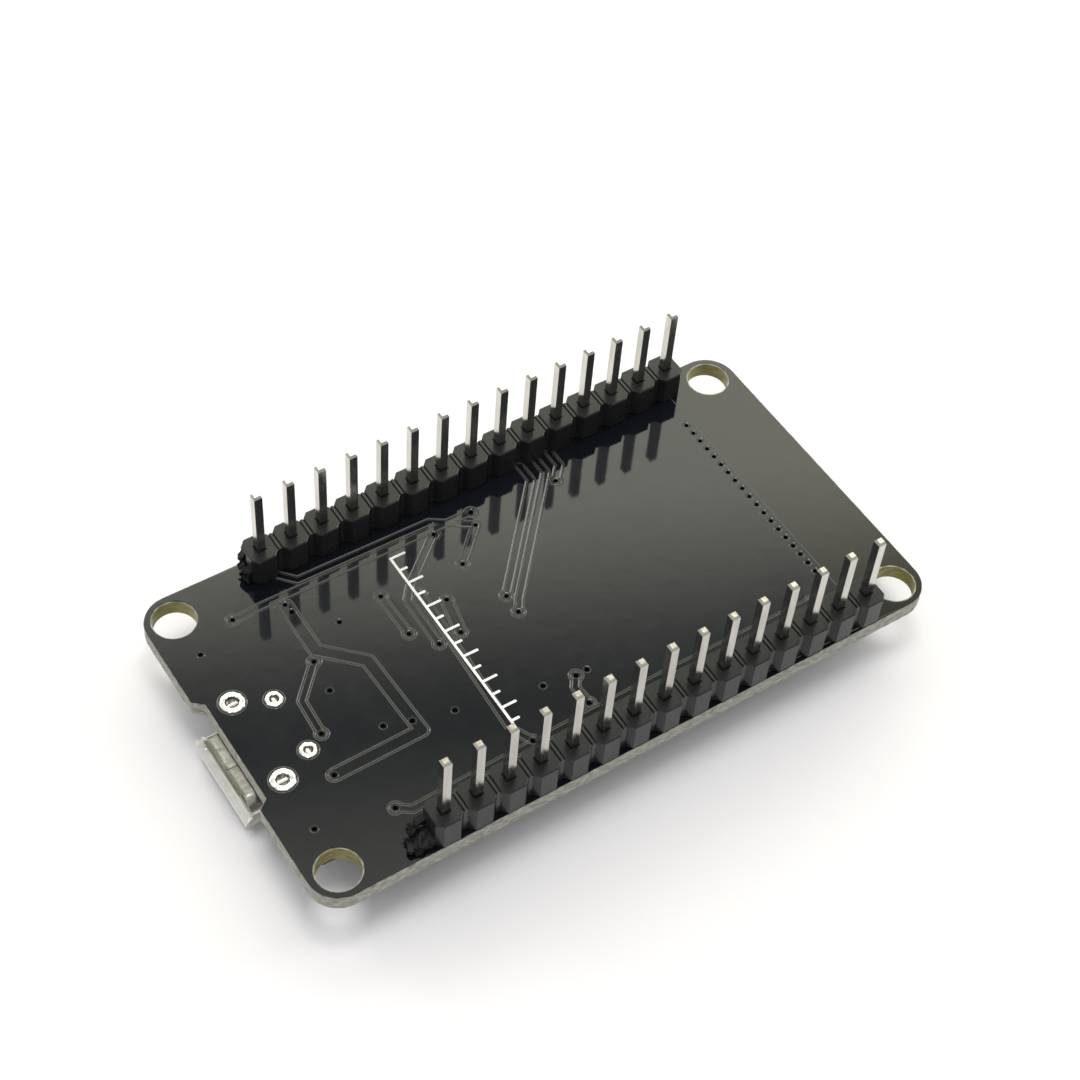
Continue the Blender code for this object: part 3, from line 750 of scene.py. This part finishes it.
def make_light():
    """A pale sky with a soft bright window behind the board, and soft boxes above and at both far sides."""
    world = bpy.data.worlds.new("studio")
    world.use_nodes = True
    tree = world.node_tree
    way = node(tree, "TexCoord").outputs["Generated"]
    toward, above = (node(tree, "VectorMath", {0: way, 1: axis}, operation="DOT_PRODUCT").outputs["Value"]
                     for axis in (WINDOW_WAY, WINDOW_TOP))
    bands = node(tree, "ValToRGB", {"Fac": spread(tree, above, -0.05, 0.13)})
    ramp = bands.color_ramp
    ramp.interpolation = "B_SPLINE"
    while len(ramp.elements) < len(WINDOW_BANDS):
        ramp.elements.new(0.5)
    for stop, (share, strength) in zip(ramp.elements, WINDOW_BANDS):
        stop.position = share
        stop.color = (strength, strength, strength, 1.0)
    window = node(tree, "Math", {0: bands.outputs["Color"], 1: WINDOW_STRENGTH}, operation="MULTIPLY")
    near = spread(tree, toward, 0.83, 0.915)
    height = node(tree, "SeparateXYZ", {"Vector": way}).outputs["Z"]
    base = spread(tree, height, 0.04, 0.4, HORIZON_STRENGTH, SKY_STRENGTH)
    total = node(tree, "Mix", {0: near, 2: base, 3: window.outputs[0]}, data_type="FLOAT")
    sky = tree.nodes["Background"]
    tree.links.new(mixed(tree, near, (0.97, 0.99, 1.0), (1.0, 1.0, 0.84)), sky.inputs["Color"])
    tree.links.new(total.outputs[0], sky.inputs["Strength"])
    bpy.context.scene.world = world
    bpy.context.scene.view_settings.view_transform = "Standard"
    soft_light("overhead", 143, 84, 0.9, 0.36, 2.9, (1.0, 0.99, 0.97))
    soft_light("far_left", 203, 27, 1.0, 0.36, 2.0)
    soft_light("far_right", 88, 27, 1.0, 0.36, 2.0)


# The circuit board

def path_pieces(routes):
    """(half width, start, end) of every straight stretch."""
    return [(half, a, b) for half, *points in routes for a, b in zip(points, points[1:])]


def copper_level(points, routes, vias, drills):
    """Height of the mask: level over copper, lower over the gaps round it, deep in the drilled vias."""
    inside = np.full(len(points), np.inf)
    for half, a, b in path_pieces(routes):
        inside = np.minimum(inside, segment_distance(points, a, b) - half)
    for x, y, radius in vias:
        inside = np.minimum(inside, segment_distance(points, (x, y), (x, y)) - radius)
    filled = np.minimum(inside - GROOVE, POUR_END - points[:, 0])
    away = np.clip(np.minimum(inside, -filled) / SLOPE, 0, 1)
    level = -RELIEF * away * away * (3 - 2 * away)
    for place in drills:
        away = segment_distance(points, place, place)
        dish = np.clip((DISH_RADIUS - away) / DISH_SLOPE, 0, 1)
        deep = np.clip((DRILL_RADIUS + DRILL_SLOPE - away) / DRILL_SLOPE, 0, 1)
        level = np.minimum(level, -DISH_DEPTH * dish - DRILL_DEPTH * deep)
    return level


def mask_holes():
    """Openings of a mask: round every hole of the board."""
    holes = [circle(MOUNTING_RADIUS + 0.1, place, 48) for place in MOUNTING_HOLES]
    holes += [circle(PIN_HOLE + 0.02, place, 12) for place in FAR_PINS + NEAR_PINS]
    holes += [circle((LEG_HOLE + 0.01) * radius, (x, y), 20) for x, y, radius in USB_LEGS]
    return holes


def contours_of(routes, vias, drills):
    """The lines along which a relief bends, on the two rounded slopes of each groove."""
    lines = []
    slopes = [SLOPE * step for step in SLOPE_STEPS]
    for reach in (*slopes, *(GROOVE - reach for reach in slopes)):
        lines += [around_path(points, half + reach) for half, *points in routes]
        lines += [circle(radius + reach, (x, y), 20) for x, y, radius in vias]
    for place in drills:
        bends = (DRILL_RADIUS, DRILL_RADIUS + DRILL_SLOPE, DISH_RADIUS - DISH_SLOPE, DISH_RADIUS)
        lines += [circle(radius, place, 14) for radius in bends]
    lines += [[(POUR_END + reach, -BOARD_HALF_WIDTH + 0.3), (POUR_END + reach, BOARD_HALF_WIDTH - 0.3)]
              for reach in slopes]
    return lines


def route_ends():
    """Where the solder side's routes end in a via, unless that is under a header strip."""
    ends = [point for _, *points in ROUTES for point in (points[0], points[-1])]
    return [(x, y) for x, y in dict.fromkeys(ends) if abs(y) < 11.0]


def drill_places():
    stitches = [(STITCH_X, STITCH_TOP - STITCH_STEP * i) for i in range(STITCH_COUNT)]
    return route_ends() + list(VIAS) + stitches


def solder_mask(name, routes, vias, low_side=False):
    """One side's mask over its own copper, drilled by every via. low_side is the component side."""
    drills = drill_places()

    def height(points):
        level = copper_level(points, routes, vias, drills)
        return COMPONENT_SIDE - level if low_side else level

    def underside(outer):
        return outer + MASK_THICKNESS if low_side else outer - MASK_THICKNESS

    bm = relief(board_outline(MASK_INSET), mask_holes(), contours_of(routes, vias, drills), height,
                underside, low_side)
    piece(name, bm, "mask", "solder_mask", smooth=2)


def solder_masks():
    """Both sides' masks. The receptacle's legs have pads on the solder side."""
    ringed = [(x, y, VIA_RADIUS) for x, y in route_ends()]
    ringed += [(x, y, radius - 0.06) for x, y, radius in USB_LEGS]
    solder_mask("solder_mask_top", ROUTES, ringed)
    under = [(x, y, VIA_RADIUS) for x, y in drill_places() if x < 0]
    solder_mask("solder_mask_bottom", UNDER_ROUTES, under, low_side=True)


def resampled(outline, step):
    """The same closed outline with points no further apart than step."""
    dense = []
    for a, b in zip(outline, outline[1:] + outline[:1]):
        count = max(1, math.ceil(math.dist(a, b) / step))
        dense += [(a[0] + (b[0] - a[0]) * i / count, a[1] + (b[1] - a[1]) * i / count) for i in range(count)]
    return dense


def chipped(x, y, z, rough, centre):
    """A point of a routed or drilled wall, set back into the laminate by the chips along its layers."""
    chip = 0.5 + 0.5 * noise.noise((x * 1.7, y * 1.7, z * 9))
    chip = rough * (chip + 0.5 * abs(noise.noise((x * 6, y * 6, z * 3 + 40))))
    if centre is not None:
        away = Vector((x, y)) - centre
        return (*(centre + away * (1 + chip / away.length)), z)
    if abs(x) > BOARD_HALF_LENGTH - CORNER:
        x -= math.copysign(chip, x)
    if abs(y) > BOARD_HALF_WIDTH - CORNER:
        y -= math.copysign(chip, y)
    return (x, y, z)


def laminate():
    """The fibreglass core, with a routed edge chipped along the glass layers and smoother drilled walls."""
    top, bottom = -RELIEF - CORE_GAP, COMPONENT_SIDE + RELIEF + CORE_GAP
    walls = [(resampled(board_outline(), 0.2), 0.05)]
    walls += [(circle(MOUNTING_RADIUS, place, 48), 0.012) for place in MOUNTING_HOLES]
    walls += [(circle(PIN_HOLE, place, 12), 0.0) for place in FAR_PINS + NEAR_PINS]
    walls += [(circle(LEG_HOLE * radius, (x, y), 16), 0.0) for x, y, radius in USB_LEGS]
    walls += [(circle(DRILL_RADIUS + 0.08, place, 12), 0.0) for place in drill_places()]
    bm = bmesh.new()
    ends = ([], [])
    for number, (outline, rough) in enumerate(walls):
        rows = 9 if rough else 2
        centre = Vector(np.mean(outline, axis=0)) if number else None
        heights = [bottom + (top - bottom) * row / (rows - 1) for row in range(rows)]
        rings = [[bm.verts.new(chipped(x, y, z, rough, centre)) for x, y in outline] for z in heights]
        for low, high in zip(rings, rings[1:]):
            for face in bridged(bm, low, high):
                face.material_index = min(number, 1)
        ends[0].extend(rings[0])
        ends[1].extend(rings[-1])
    _, triangles = arrangement(walls[0][0], [outline for outline, _ in walls[1:]])
    for end in ends:
        for t in triangles:
            bm.faces.new([end[i] for i in t])
    bmesh.ops.recalc_face_normals(bm, faces=bm.faces)
    piece("board_laminate", bm, ("edge", "bore"), "solder_mask", replaces=["circuit_board"])


# Headers

def header_strip(row, pins):
    """Octagonal segments on narrower necks, each neck with a raised rib, and a recess round each pin."""
    low, high = frame_box(f"header_strip_{row}")
    first_x, y_row = pins[0]
    half, reach = min(high.y - y_row, y_row - low.y), first_x - low.x
    neck = half - CHAMFER
    hole = PIN_HALF + 0.025
    bevel, mouth = 0.08, hole + 0.07

    def octagon(x, inset):
        r, w, c = reach - inset, half - inset, CHAMFER - 0.6 * inset
        corner = [(r, w - c), (r - c, w)]
        loop = corner + [(-a, b) for a, b in corner[::-1]]
        loop += [(-a, -b) for a, b in corner] + [(a, -b) for a, b in corner[::-1]]
        return [(x + a, y_row + b) for a, b in loop]

    def square(x, side):
        return rectangle(side, side, centre=(x, y_row))

    edge, contours = [], []
    for x, _ in pins:
        edge += [(x - reach, -neck), (x - reach + CHAMFER, -half)]
        edge += [(x + reach - CHAMFER, -half), (x + reach, -neck)]
        contours += [octagon(x, bevel), octagon(x, 0.03), square(x, 2 * mouth), square(x, 2 * hole + 0.04)]
    for x, _ in pins[:-1]:
        contours += [rectangle(width, 2 * neck + 0.2, centre=(x + PITCH / 2, y_row)) for width in (0.2, 0.26)]
    outline = [(x, y_row + y) for x, y in edge] + [(x, y_row - y) for x, y in edge[::-1]]

    def height(points):
        x = np.abs((points[:, 0] - first_x + PITCH / 2) % PITCH - PITCH / 2)
        y = np.abs(points[:, 1] - y_row)
        inside = np.minimum(reach - x, half - y)
        inside = np.minimum(inside, (reach + half - CHAMFER - x - y) / math.sqrt(2))
        top = STRIP_TOP - 0.09 * (1 - np.clip(inside / bevel, 0, 1)) ** 2
        rib = np.clip((x - (PITCH / 2 - 0.13)) / 0.03, 0, 1)
        top = np.where(x > reach - 1e-4, STRIP_TOP - 0.16 + 0.14 * rib, top)
        return top - 0.08 * np.clip((mouth - np.maximum(x, y)) / 0.05, 0, 1)

    bm = relief(outline, [square(x, 2 * hole) for x, _ in pins], contours, height,
                lambda top: np.full(len(top), STRIP_LOW))
    piece(f"header_moulding_{row}", bm, "plastic", "header_plastic",
          replaces=[f"header_strip_{row}"], smooth=20)


def break_off_stub(row, pins):
    """The torn plastic where the strip was snapped from a longer one, in a darker tone that is painted shade.
    """
    edge = frame_box(f"header_strip_{row}")[0].x
    fins = []
    for size, y, z_low, seed in TORN_FINS[row]:
        fin = block(size, (edge - size[0] / 2 + 0.25, pins[0][1] + y, z_low + size[2] / 2))
        bmesh.ops.subdivide_edges(fin, edges=fin.edges[:], cuts=9, use_grid_fill=True)
        for vert in fin.verts:
            torn = min(1.0, max(0.0, (edge - vert.co.x) / size[0]))
            coarse = noise.noise_vector(vert.co * 1.6 + Vector((seed, 0, 0)))
            fine = noise.noise_vector(vert.co * 4.3 + Vector((0, seed, 0)))
            vert.co += (coarse * 0.6 + fine * 0.42) * torn * Vector((1, 1, 0.6))
            vert.co.z = max(vert.co.z * (1 - 0.45 * torn), 0.02)
        fins.append(fin)
    piece(f"header_stub_{row}", joined(*fins), ["torn"] * len(fins), "header_plastic", smooth=25)


def header_pins(row, pins):
    for number in range(1, len(pins) + 1):
        dress(f"pin_{row}_{number:02d}", "pin", 0.07)


# Receptacle

def usb_solder():
    """Ragged solder rings round the receptacle's four legs, with a duller bowl in each plated hole."""
    bm = bmesh.new()
    for number, (x, y, radius) in enumerate(USB_LEGS):
        hole = 0.53 * radius
        profile = [(0, -0.3), (hole * 0.6, -0.28), (hole * 0.9, -0.18), (hole, -0.03), (hole * 1.1, 0.04)]
        profile += [(radius * 0.78, 0.07), (radius * 0.94, 0.045), (radius, 0.0), (radius, -0.07), (0, -0.6)]
        turned(profile, (x, y), 36, bm, 0.13, 7.3 * number)
        for face in bm.faces:
            away = math.dist(face.calc_center_median().xy, (x, y))
            if away < hole * 0.99:
                face.material_index = 1
    piece("usb_leg_solder", bm, ("solder", "bowl"), "tinned_pin")


def rounded_corners(corners):
    """Outline through (y, z, radius) corners, each rounded by a curve where its radius isn't 0."""
    outline, steps = [], 4
    for i, (y, z, radius) in enumerate(corners):
        here = Vector((y, z))
        if radius == 0:
            outline.append(here)
            continue
        before = (Vector(corners[i - 1][:2]) - here).normalized() * radius
        after = (Vector(corners[(i + 1) % len(corners)][:2]) - here).normalized() * radius
        for k in range(steps + 1):
            t = k / steps
            outline.append(here + before * (1 - t) ** 2 + after * t ** 2)
    return outline


def usb_section():
    """The receptacle's outside in (y, height), with lines at its windows and its seam."""
    wide, narrow, high = 3.75, 2.85, 2.45
    inner, outer = SHELL_WINDOW
    half = [(2.1, 0, 0), (narrow, 0, 0.3), (wide, 0.98, 0.3), (wide, high, 0.4)]
    half += [(outer, high, 0), (inner, high, 0)]
    other = [(-y, z, radius) for y, z, radius in half[::-1]]
    seam = [(-0.23, 0, 0), (-0.17, 0, 0)]
    return rounded_corners(half + other + seam)


def usb_shell():
    """The formed steel, with two windows, a folded seam and a lip round its mouth, split at the corners."""
    section = usb_section()
    count = len(section)
    normals = []
    for i in range(count):
        along = (section[(i + 1) % count] - section[i - 1]).normalized()
        normals.append(Vector((along.y, -along.x)))
    grids = ([], [])
    for x in SHELL_STATIONS:
        bend = min(1.0, max(0.0, (LIP_START - x) / 0.6))
        for grid, inset in zip(grids, (0.0, 0.24)):
            row = []
            for point, normal in zip(section, normals):
                lip = 0.3 if abs(normal.y) > 0.95 else 0.16
                y, high = point + normal * (lip * bend * bend - inset)
                row.append((x + 0.35 * inset * bend, USB_Y + y, high + SEAT))
            grid.append(row)

    def steel(i, j):
        a, b = section[j], section[(j + 1) % count]
        middle = (a + b) / 2
        seam = abs(middle.x + 0.2) < 0.05 and middle.y < 0.1
        window = i == 1 and middle.y > 2.4 and SHELL_WINDOW[0] < abs(middle.x) < SHELL_WINDOW[1]
        level = abs(a.y - b.y) < 1e-4 or abs(a.x - b.x) < 1e-4
        split = i >= 5 and not level
        return not (seam or window or split)

    return sheet(grids[0], grids[1], steel)


def usb_legs():
    """The front legs are folded from the sides and the rear ones from the back."""
    bm = bmesh.new()
    for x, y, _ in USB_LEGS:
        side = math.copysign(1, y - USB_Y)
        if x < -22:
            block((0.8, 0.26, 2.5), (x, y - side * 0.05, 0.0), 0.06, bm)
        else:
            block((0.26, 0.55, 1.6), (x, y, -0.45), 0.06, bm)
    return bm


def usb_springs():
    """The two tongues in the windows that hold the plug."""
    bm = bmesh.new()
    for y in (-2.25, 2.25):
        spring = [(0.0, 2.43), (0.5, 2.42), (1.5, 2.2), (1.8, 2.3)]
        bent_strip(spring, 0.6, 0.18, (-21.65, USB_Y + y), 180, bm)
    return bm


def usb_contacts():
    """Five contacts on the tongue, with their soldered tails behind the receptacle."""
    bm = bmesh.new()
    for number in range(5):
        y = USB_Y + 0.65 * (number - 2)
        block((2.9, 0.36, 0.06), (-23.5, y, 1.14), 0.02, bm)
        tail = [(-0.1, 0.42), (0.2, 0.42), (0.42, 0.12), (0.95, 0.12)]
        bent_strip(tail, 0.26, 0.14, (-20.5, y), 0, bm)
        solder((-19.75, y), 1.1, 0.36, 0.1, 0, bm)
    return bm


def usb_receptacle():
    looks = ["usb_steel"] * 3 + ["gold"]
    parts = joined(usb_shell(), usb_legs(), usb_springs(), usb_contacts())
    low_piece("usb_receptacle", parts, looks, "usb_steel", replaces=["usb_shell"], smooth=40)
    dress("usb_tongue", "insulator", 0.05)


# Component side. Heights are counted from the board's face.

def pin_solder():
    """A concave fillet round each pin's tail."""
    bm = bmesh.new()
    profile = [(0, -0.05), (0.92, -0.01), (0.9, 0.06), (0.66, 0.22), (0.5, 0.5)]
    profile += [(0.43, 0.78), (0.3, 0.86), (0, 0.88)]
    for number, place in enumerate(FAR_PINS + NEAR_PINS):
        turned(profile, place, 18, bm, 0.06, 3.1 * number)
    low_piece("pin_solder", bm, "solder", "tinned_pin", smooth=50)


def module_pads():
    """Place and outward heading of every castellation of the radio module."""
    low, high = frame_box("module_board")
    pads = [(low.x + 1.5 + 1.27 * i, side, heading) for i in range(14)
            for side, heading in ((low.y, -90), (high.y, 90))]
    return pads + [(low.x, 1.27 * (i - 4.5), 180) for i in range(10)]


def module_solder(board_top):
    """A fillet up each castellation and a plated pad behind it."""
    joints, plated = bmesh.new(), bmesh.new()
    profile = [(0, -0.02), (0.6, -0.01), (0.52, 0.1), (0.4, 0.34), (0.36, board_top - 0.04)]
    profile += [(0.3, board_top + 0.03), (0, board_top + 0.035)]
    for number, (x, y, heading) in enumerate(module_pads()):
        out = heading_way(heading)
        turned(profile, tuple(Vector((x, y)) + 0.06 * out), 14, joints, 0.08, 1.7 * number)
        inner = tuple(Vector((x, y)) - 0.42 * out)
        size = (0.8, 0.86) if heading == 180 else (0.86, 0.8)
        prism(rectangle(*size, 0.1, inner), board_top - 0.01, board_top + 0.025, plated)
    low_piece("module_solder", joined(joints, plated), ("solder", "gold"), "module_laminate")


def module_antenna(board_top):
    """The folded track at the module's free end, with its second foot."""
    left, right, reach, first, rows = 19.7, frame_box("module_board")[1].x - 0.7, 7.3, 6.6, 7
    path = [(left - 0.6, first), (left + 0.2, first)]
    for number in range(rows):
        y, after = (reach - 2 * reach * k / (rows - 1) for k in (number, number + 1))
        end = right if number % 2 == 0 else left + 1.3
        path.append((end, y if number else first))
        if number < rows - 1:
            path.append((end, after))
    trace = prism(around_path(path, 0.28), board_top - 0.01, board_top + 0.035)
    foot = [(left - 0.6, 4.9), (left + 0.5, 4.9), (left + 0.5, 6.4)]
    prism(around_path(foot, 0.28), board_top - 0.01, board_top + 0.034, trace)
    low_piece("module_antenna", trace, "antenna", "module_laminate")


def shield_details(board_top):
    """The shield's solder along its long sides, and the small pressed mark in its corner."""
    low, high = frame_box("module_shield")
    top = COMPONENT_SIDE - low.z
    feet, mark = bmesh.new(), bmesh.new()
    for x in (low.x + 3.2, (low.x + high.x) / 2, high.x - 3.2):
        for y, heading in ((low.y - 0.16, -90), (high.y + 0.16, 90)):
            solder((x, y), 0.5, 1.5, 0.3, heading, feet)
    bmesh.ops.translate(feet, vec=(0, 0, board_top), verts=feet.verts)
    profile = [(0, top - 0.04), (0.5, top - 0.04), (0.5, top - 0.004), (0.44, top - 0.002), (0, top - 0.006)]
    turned(profile, (low.x + 1.8, high.y - 1.8), 28, mark)
    low_piece("shield_details", joined(feet, mark), ("solder", "dull_tin"), "shield_steel")


def radio_module():
    board_top = COMPONENT_SIDE - frame_box("module_board")[0].z
    module_solder(board_top)
    module_antenna(board_top)
    shield_details(board_top)
    dress("module_board", "module_mask", 0.03)
    dress("module_shield", "shield", 0.3)
    dress("module_processor", "resin", 0.04)
    dress("module_flash", "resin", 0.04)
    dress("module_crystal", "shield", 0.06)


def terminal(leads, joints, place, reach, width, heading, high):
    """A metal end that wraps from a package's side to its foot, and the solder beside it."""
    profile = [(reach - 0.5, 0.11), (reach + 0.07, 0.11), (reach + 0.07, high)]
    bent_strip(profile, width, 0.12, place, heading, leads)
    beside = Vector(place) + heading_way(heading) * (reach + 0.22)
    solder(beside, 0.66, width + 0.3, 0.34 * high, heading, joints)


def gull_wing(leads, joints, place, reach, foot, width, heading, high):
    """A lead that leaves a package at that height and stands on its pad."""
    profile = [(reach - 0.25, high), (reach + 0.12, high), (reach + 0.32, 0.13), (reach + 0.32 + foot, 0.13)]
    bent_strip(profile, width, 0.13, place, heading, leads)
    under = Vector(place) + heading_way(heading) * (reach + 0.36 + foot / 2)
    solder(under, foot + 0.75, width + 0.3, 0.1, heading, joints)


def package(node_name, parts, looks, slot):
    """A part made of its body, leads, solder and sometimes a mark, in place of its CAD node."""
    low_piece(node_name.replace("_", "-"), joined(*parts), looks, slot, replaces=[node_name])


def winged_package(node_name, size, bevel, wings):
    """A moulded package on gull wing leads, each given by its shift along X and its own measures."""
    x, y = middle_of(node_name)
    leads, joints = bmesh.new(), bmesh.new()
    for shift, *measures in wings:
        gull_wing(leads, joints, (x + shift, y), *measures)
    parts = (moulded(size, (x, y), bevel), leads, joints)
    package(node_name, parts, ("resin", "sheet", "solder"), "chip_resin")


def ended_package(node_name, size, end, stripe, looks, slot):
    """A moulded package with a wrapped terminal at each end and a polarity stripe across its top.

    end is the terminals' reach, width and height, and stripe the band's offset, length, width and height."""
    x, y = middle_of(node_name)
    leads, joints = bmesh.new(), bmesh.new()
    reach, width, high = end
    for heading in (0, 180):
        terminal(leads, joints, (x, y), reach, width, heading, high)
    shift, length, across, top = stripe
    band = prism(rectangle(length, across, centre=(x + shift, y)), top - 0.106, top)
    package(node_name, (moulded(size, (x, y)), leads, joints, band), looks, slot)


def power_parts():
    """The regulator, two transistors, the diode and the two capacitors."""
    legs = [(shift, 1.75, 0.9, 0.72, 90, 0.85) for shift in (-2.3, 0.0, 2.3)]
    winged_package("voltage_regulator", (6.5, 3.5, 1.5), 0.08, legs + [(0, 1.75, 0.9, 3.0, -90, 0.85)])
    legs = [(shift, 0.65, 0.25, 0.4, heading, 0.55) for shift, heading in ((-0.95, 90), (0.95, 90), (0, -90))]
    for node_name in ("transistor_1", "transistor_2"):
        winged_package(node_name, (2.9, 1.3, 0.9), 0.06, legs)
    ended_package("protection_diode", (2.7, 1.6, 1.0), (1.35, 1.2, 0.62), (-0.8, 0.4, 1.36, 1.106),
                  ("resin", "dull_tin", "solder", "print"), "chip_resin")
    for node_name in ("input_capacitor", "output_capacitor"):
        ended_package(node_name, (3.2, 1.6, 1.5), (1.6, 1.15, 0.85), (-1.0, 0.5, 1.3, 1.606),
                      ("tantalum", "dull_tin", "solder", "band"), "tantalum_resin")


def serial_chip():
    """The flat chip's pads all round, with their solder, and its first-pin mark."""
    x, y = middle_of("usb_serial_chip")
    pads, joints = bmesh.new(), bmesh.new()
    for heading in (0, 90, 180, 270):
        turn = Matrix.Rotation(math.radians(heading), 2)
        for k in range(7):
            shift = 0.6 * (k - 3)
            place = Vector((x, y)) + turn @ Vector((2.5, shift))
            size = (0.1, 0.28) if heading % 180 == 0 else (0.28, 0.1)
            block((*size, 0.26), (*place, 0.2), 0.02, pads)
            solder(Vector((x, y)) + turn @ Vector((2.66, shift)), 0.6, 0.32, 0.16, heading, joints)
    mark = turned([(0, 0.9), (0.2, 0.9), (0.2, 0.956), (0, 0.953)], (x - 1.9, y + 1.9), 20)
    low_piece("chip_pads", joined(pads, joints, mark), ("gold", "solder", "resistor"),
              "chip_resin")
    dress("usb_serial_chip", "resin", 0.03)


def indicator_lamps():
    """Each lamp's clear dome on a white base with a plated, soldered end on each side."""
    for name, lens in (("power_led", "red_lens"), ("status_led", "blue_lens")):
        x, y = middle_of(name)
        base, ends, joints = bmesh.new(), bmesh.new(), bmesh.new()
        block((2.0, 1.25, 0.3), (x, y, 0.25), 0.03, base)
        for side, heading in ((1, 0), (-1, 180)):
            block((0.42, 1.27, 0.32), (x + side * 0.81, y, 0.25), 0.03, ends)
            solder((x + side * 1.12, y), 0.6, 1.35, 0.2, heading, joints)
        levels = ((1.2, 1.15, 0.3), (1.16, 1.1, 0.72), (1.02, 0.96, 0.86), (0.7, 0.66, 0.9))
        dome = lofted([(rectangle(length, width, 0.15, (x, y), 3), z) for length, width, z in levels])
        low_piece(f"{name}_lamp", joined(dome, base, ends, joints),
                  (lens, "alumina", "gold", "solder"), lens, replaces=[name])


def chip_parts():
    """Small soldered resistors and capacitors round the chip and beside the module."""
    for name, look, tall, places in (("chip_resistors", "resistor", 0.45, RESISTORS),
                                     ("chip_capacitors", "ceramic", 0.8, CAPACITORS)):
        bodies, ends, joints = bmesh.new(), bmesh.new(), bmesh.new()
        for x, y, heading in places:
            upright = heading == 90
            core, cap = ((0.8, 1.5), (0.84, 0.32)) if upright else ((1.5, 0.8), (0.32, 0.84))
            block((*core, tall - 0.04), (x, y, 0.05 + tall / 2), 0.03, bodies)
            for side in (1, -1):
                dx, dy = (0, side) if upright else (side, 0)
                block((*cap, tall), (x + 0.66 * dx, y + 0.66 * dy, 0.05 + tall / 2), 0.06, ends)
                away = math.degrees(math.atan2(dy, dx))
                solder((x + 0.95 * dx, y + 0.95 * dy), 0.72, 0.95, 0.6 * tall, away, joints)
        low_piece(name, joined(bodies, ends, joints), (look, "solder", "solder"), "chip_resin")


def snap_dome(prefix):
    """The thin domed spring under a stem."""
    rim, rise, reach, thickness = 0.55, 0.45, 1.15, 0.08
    x, y = middle_of(f"{prefix}_button_dome")
    radii = [reach * k / 6 for k in range(7)]
    under = [(r, rim + rise * (1 - (r / reach) ** 2)) for r in radii]
    over = [(r, z + thickness) for r, z in under[::-1]]
    made = low_piece(f"{prefix}_snap_dome", turned(under + over, (x, y), 32), "sheet", "button_sheet",
                     replaces=[f"{prefix}_button_dome"])
    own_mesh(made)


def push_buttons():
    """The switches' soldered legs and their covers' side clips. Stems and covers are CAD nodes."""
    leg = [(1.85, 0.5), (2.16, 0.5), (2.26, 0.14), (2.75, 0.14)]
    clip = [(1.7, 1.62), (2.1, 1.62), (2.11, 0.75)]
    for prefix in ("reset", "boot"):
        x, middle = middle_of(f"{prefix}_button_base")
        legs, joints = bmesh.new(), bmesh.new()
        for side, heading in ((1, 0), (-1, 180)):
            for y in (middle - 0.95, middle + 0.95):
                bent_strip(leg, 0.6, 0.13, (x, y), heading, legs)
                solder((x + side * 2.62, y), 1.0, 0.9, 0.12, heading, joints)
            bent_strip(clip, 0.7, 0.1, (x, middle), heading, legs)
        low_piece(f"{prefix}_button_legs", joined(legs, joints), ("sheet", "solder"), "button_sheet")
        for part, look, bevel in (("base", "button", 0.05), ("cover", "sheet", 0.05), ("stem", "cap", 0.06)):
            dress(f"{prefix}_button_{part}", look, bevel)
        snap_dome(prefix)


# Printed marks

def printed_marks():
    """Component outlines printed round the parts, and a tick between neighbouring pins."""
    bars = []
    for low_x, low_y, high_x, high_y in PRINTED_FRAMES:
        x, y = (low_x + high_x) / 2, (low_y + high_y) / 2
        length, width = high_x - low_x, high_y - low_y
        bars += [(x, y + side * width / 2, length + PRINT_LINE, PRINT_LINE) for side in (1, -1)]
        bars += [(x + side * length / 2, y, PRINT_LINE, width - 1.2 * PRINT_LINE) for side in (1, -1)]
    bars += [(x + PITCH / 2, y, PRINT_LINE, 0.9) for x, _ in FAR_PINS[:-1] for y in (-11.2, 11.2)]
    bm = bmesh.new()
    for x, y, length, width in bars:
        prism(rectangle(length, width, 0.05, (x, y)), -0.01, 0.02, bm)
    low_piece("printed_outlines", bm, "print", "solder_mask")


def printed_scale():
    """A plain printed rule across the board: one long line and a mark every half pitch."""
    x_line, top, bottom = -7.42, 8.9, -8.55
    ink_low, ink_high = -0.01, 0.014
    bm = bmesh.new()
    prism(rectangle(0.2, top - bottom, 0.08, (x_line, (top + bottom) / 2)), ink_low, ink_high, bm)
    step = PITCH / 2
    for number in range(int((top - bottom) / step) + 1):
        length = 1.25 if number % 2 == 0 else 0.7
        y = top - 0.1 - step * number
        prism(rectangle(length, 0.21, 0.08, (x_line + length / 2, y)), ink_low, ink_high - 0.001, bm)
    piece("printed_scale", bm, "print", "solder_mask")


def main():
    make_camera()
    make_floor()
    make_light()
    laminate()
    solder_masks()
    for row, pins in (("far", FAR_PINS), ("near", NEAR_PINS)):
        header_strip(row, pins)
        break_off_stub(row, pins)
        header_pins(row, pins)
    usb_solder()
    usb_receptacle()
    printed_scale()
    pin_solder()
    radio_module()
    power_parts()
    serial_chip()
    indicator_lamps()
    chip_parts()
    push_buttons()
    printed_marks()


main()
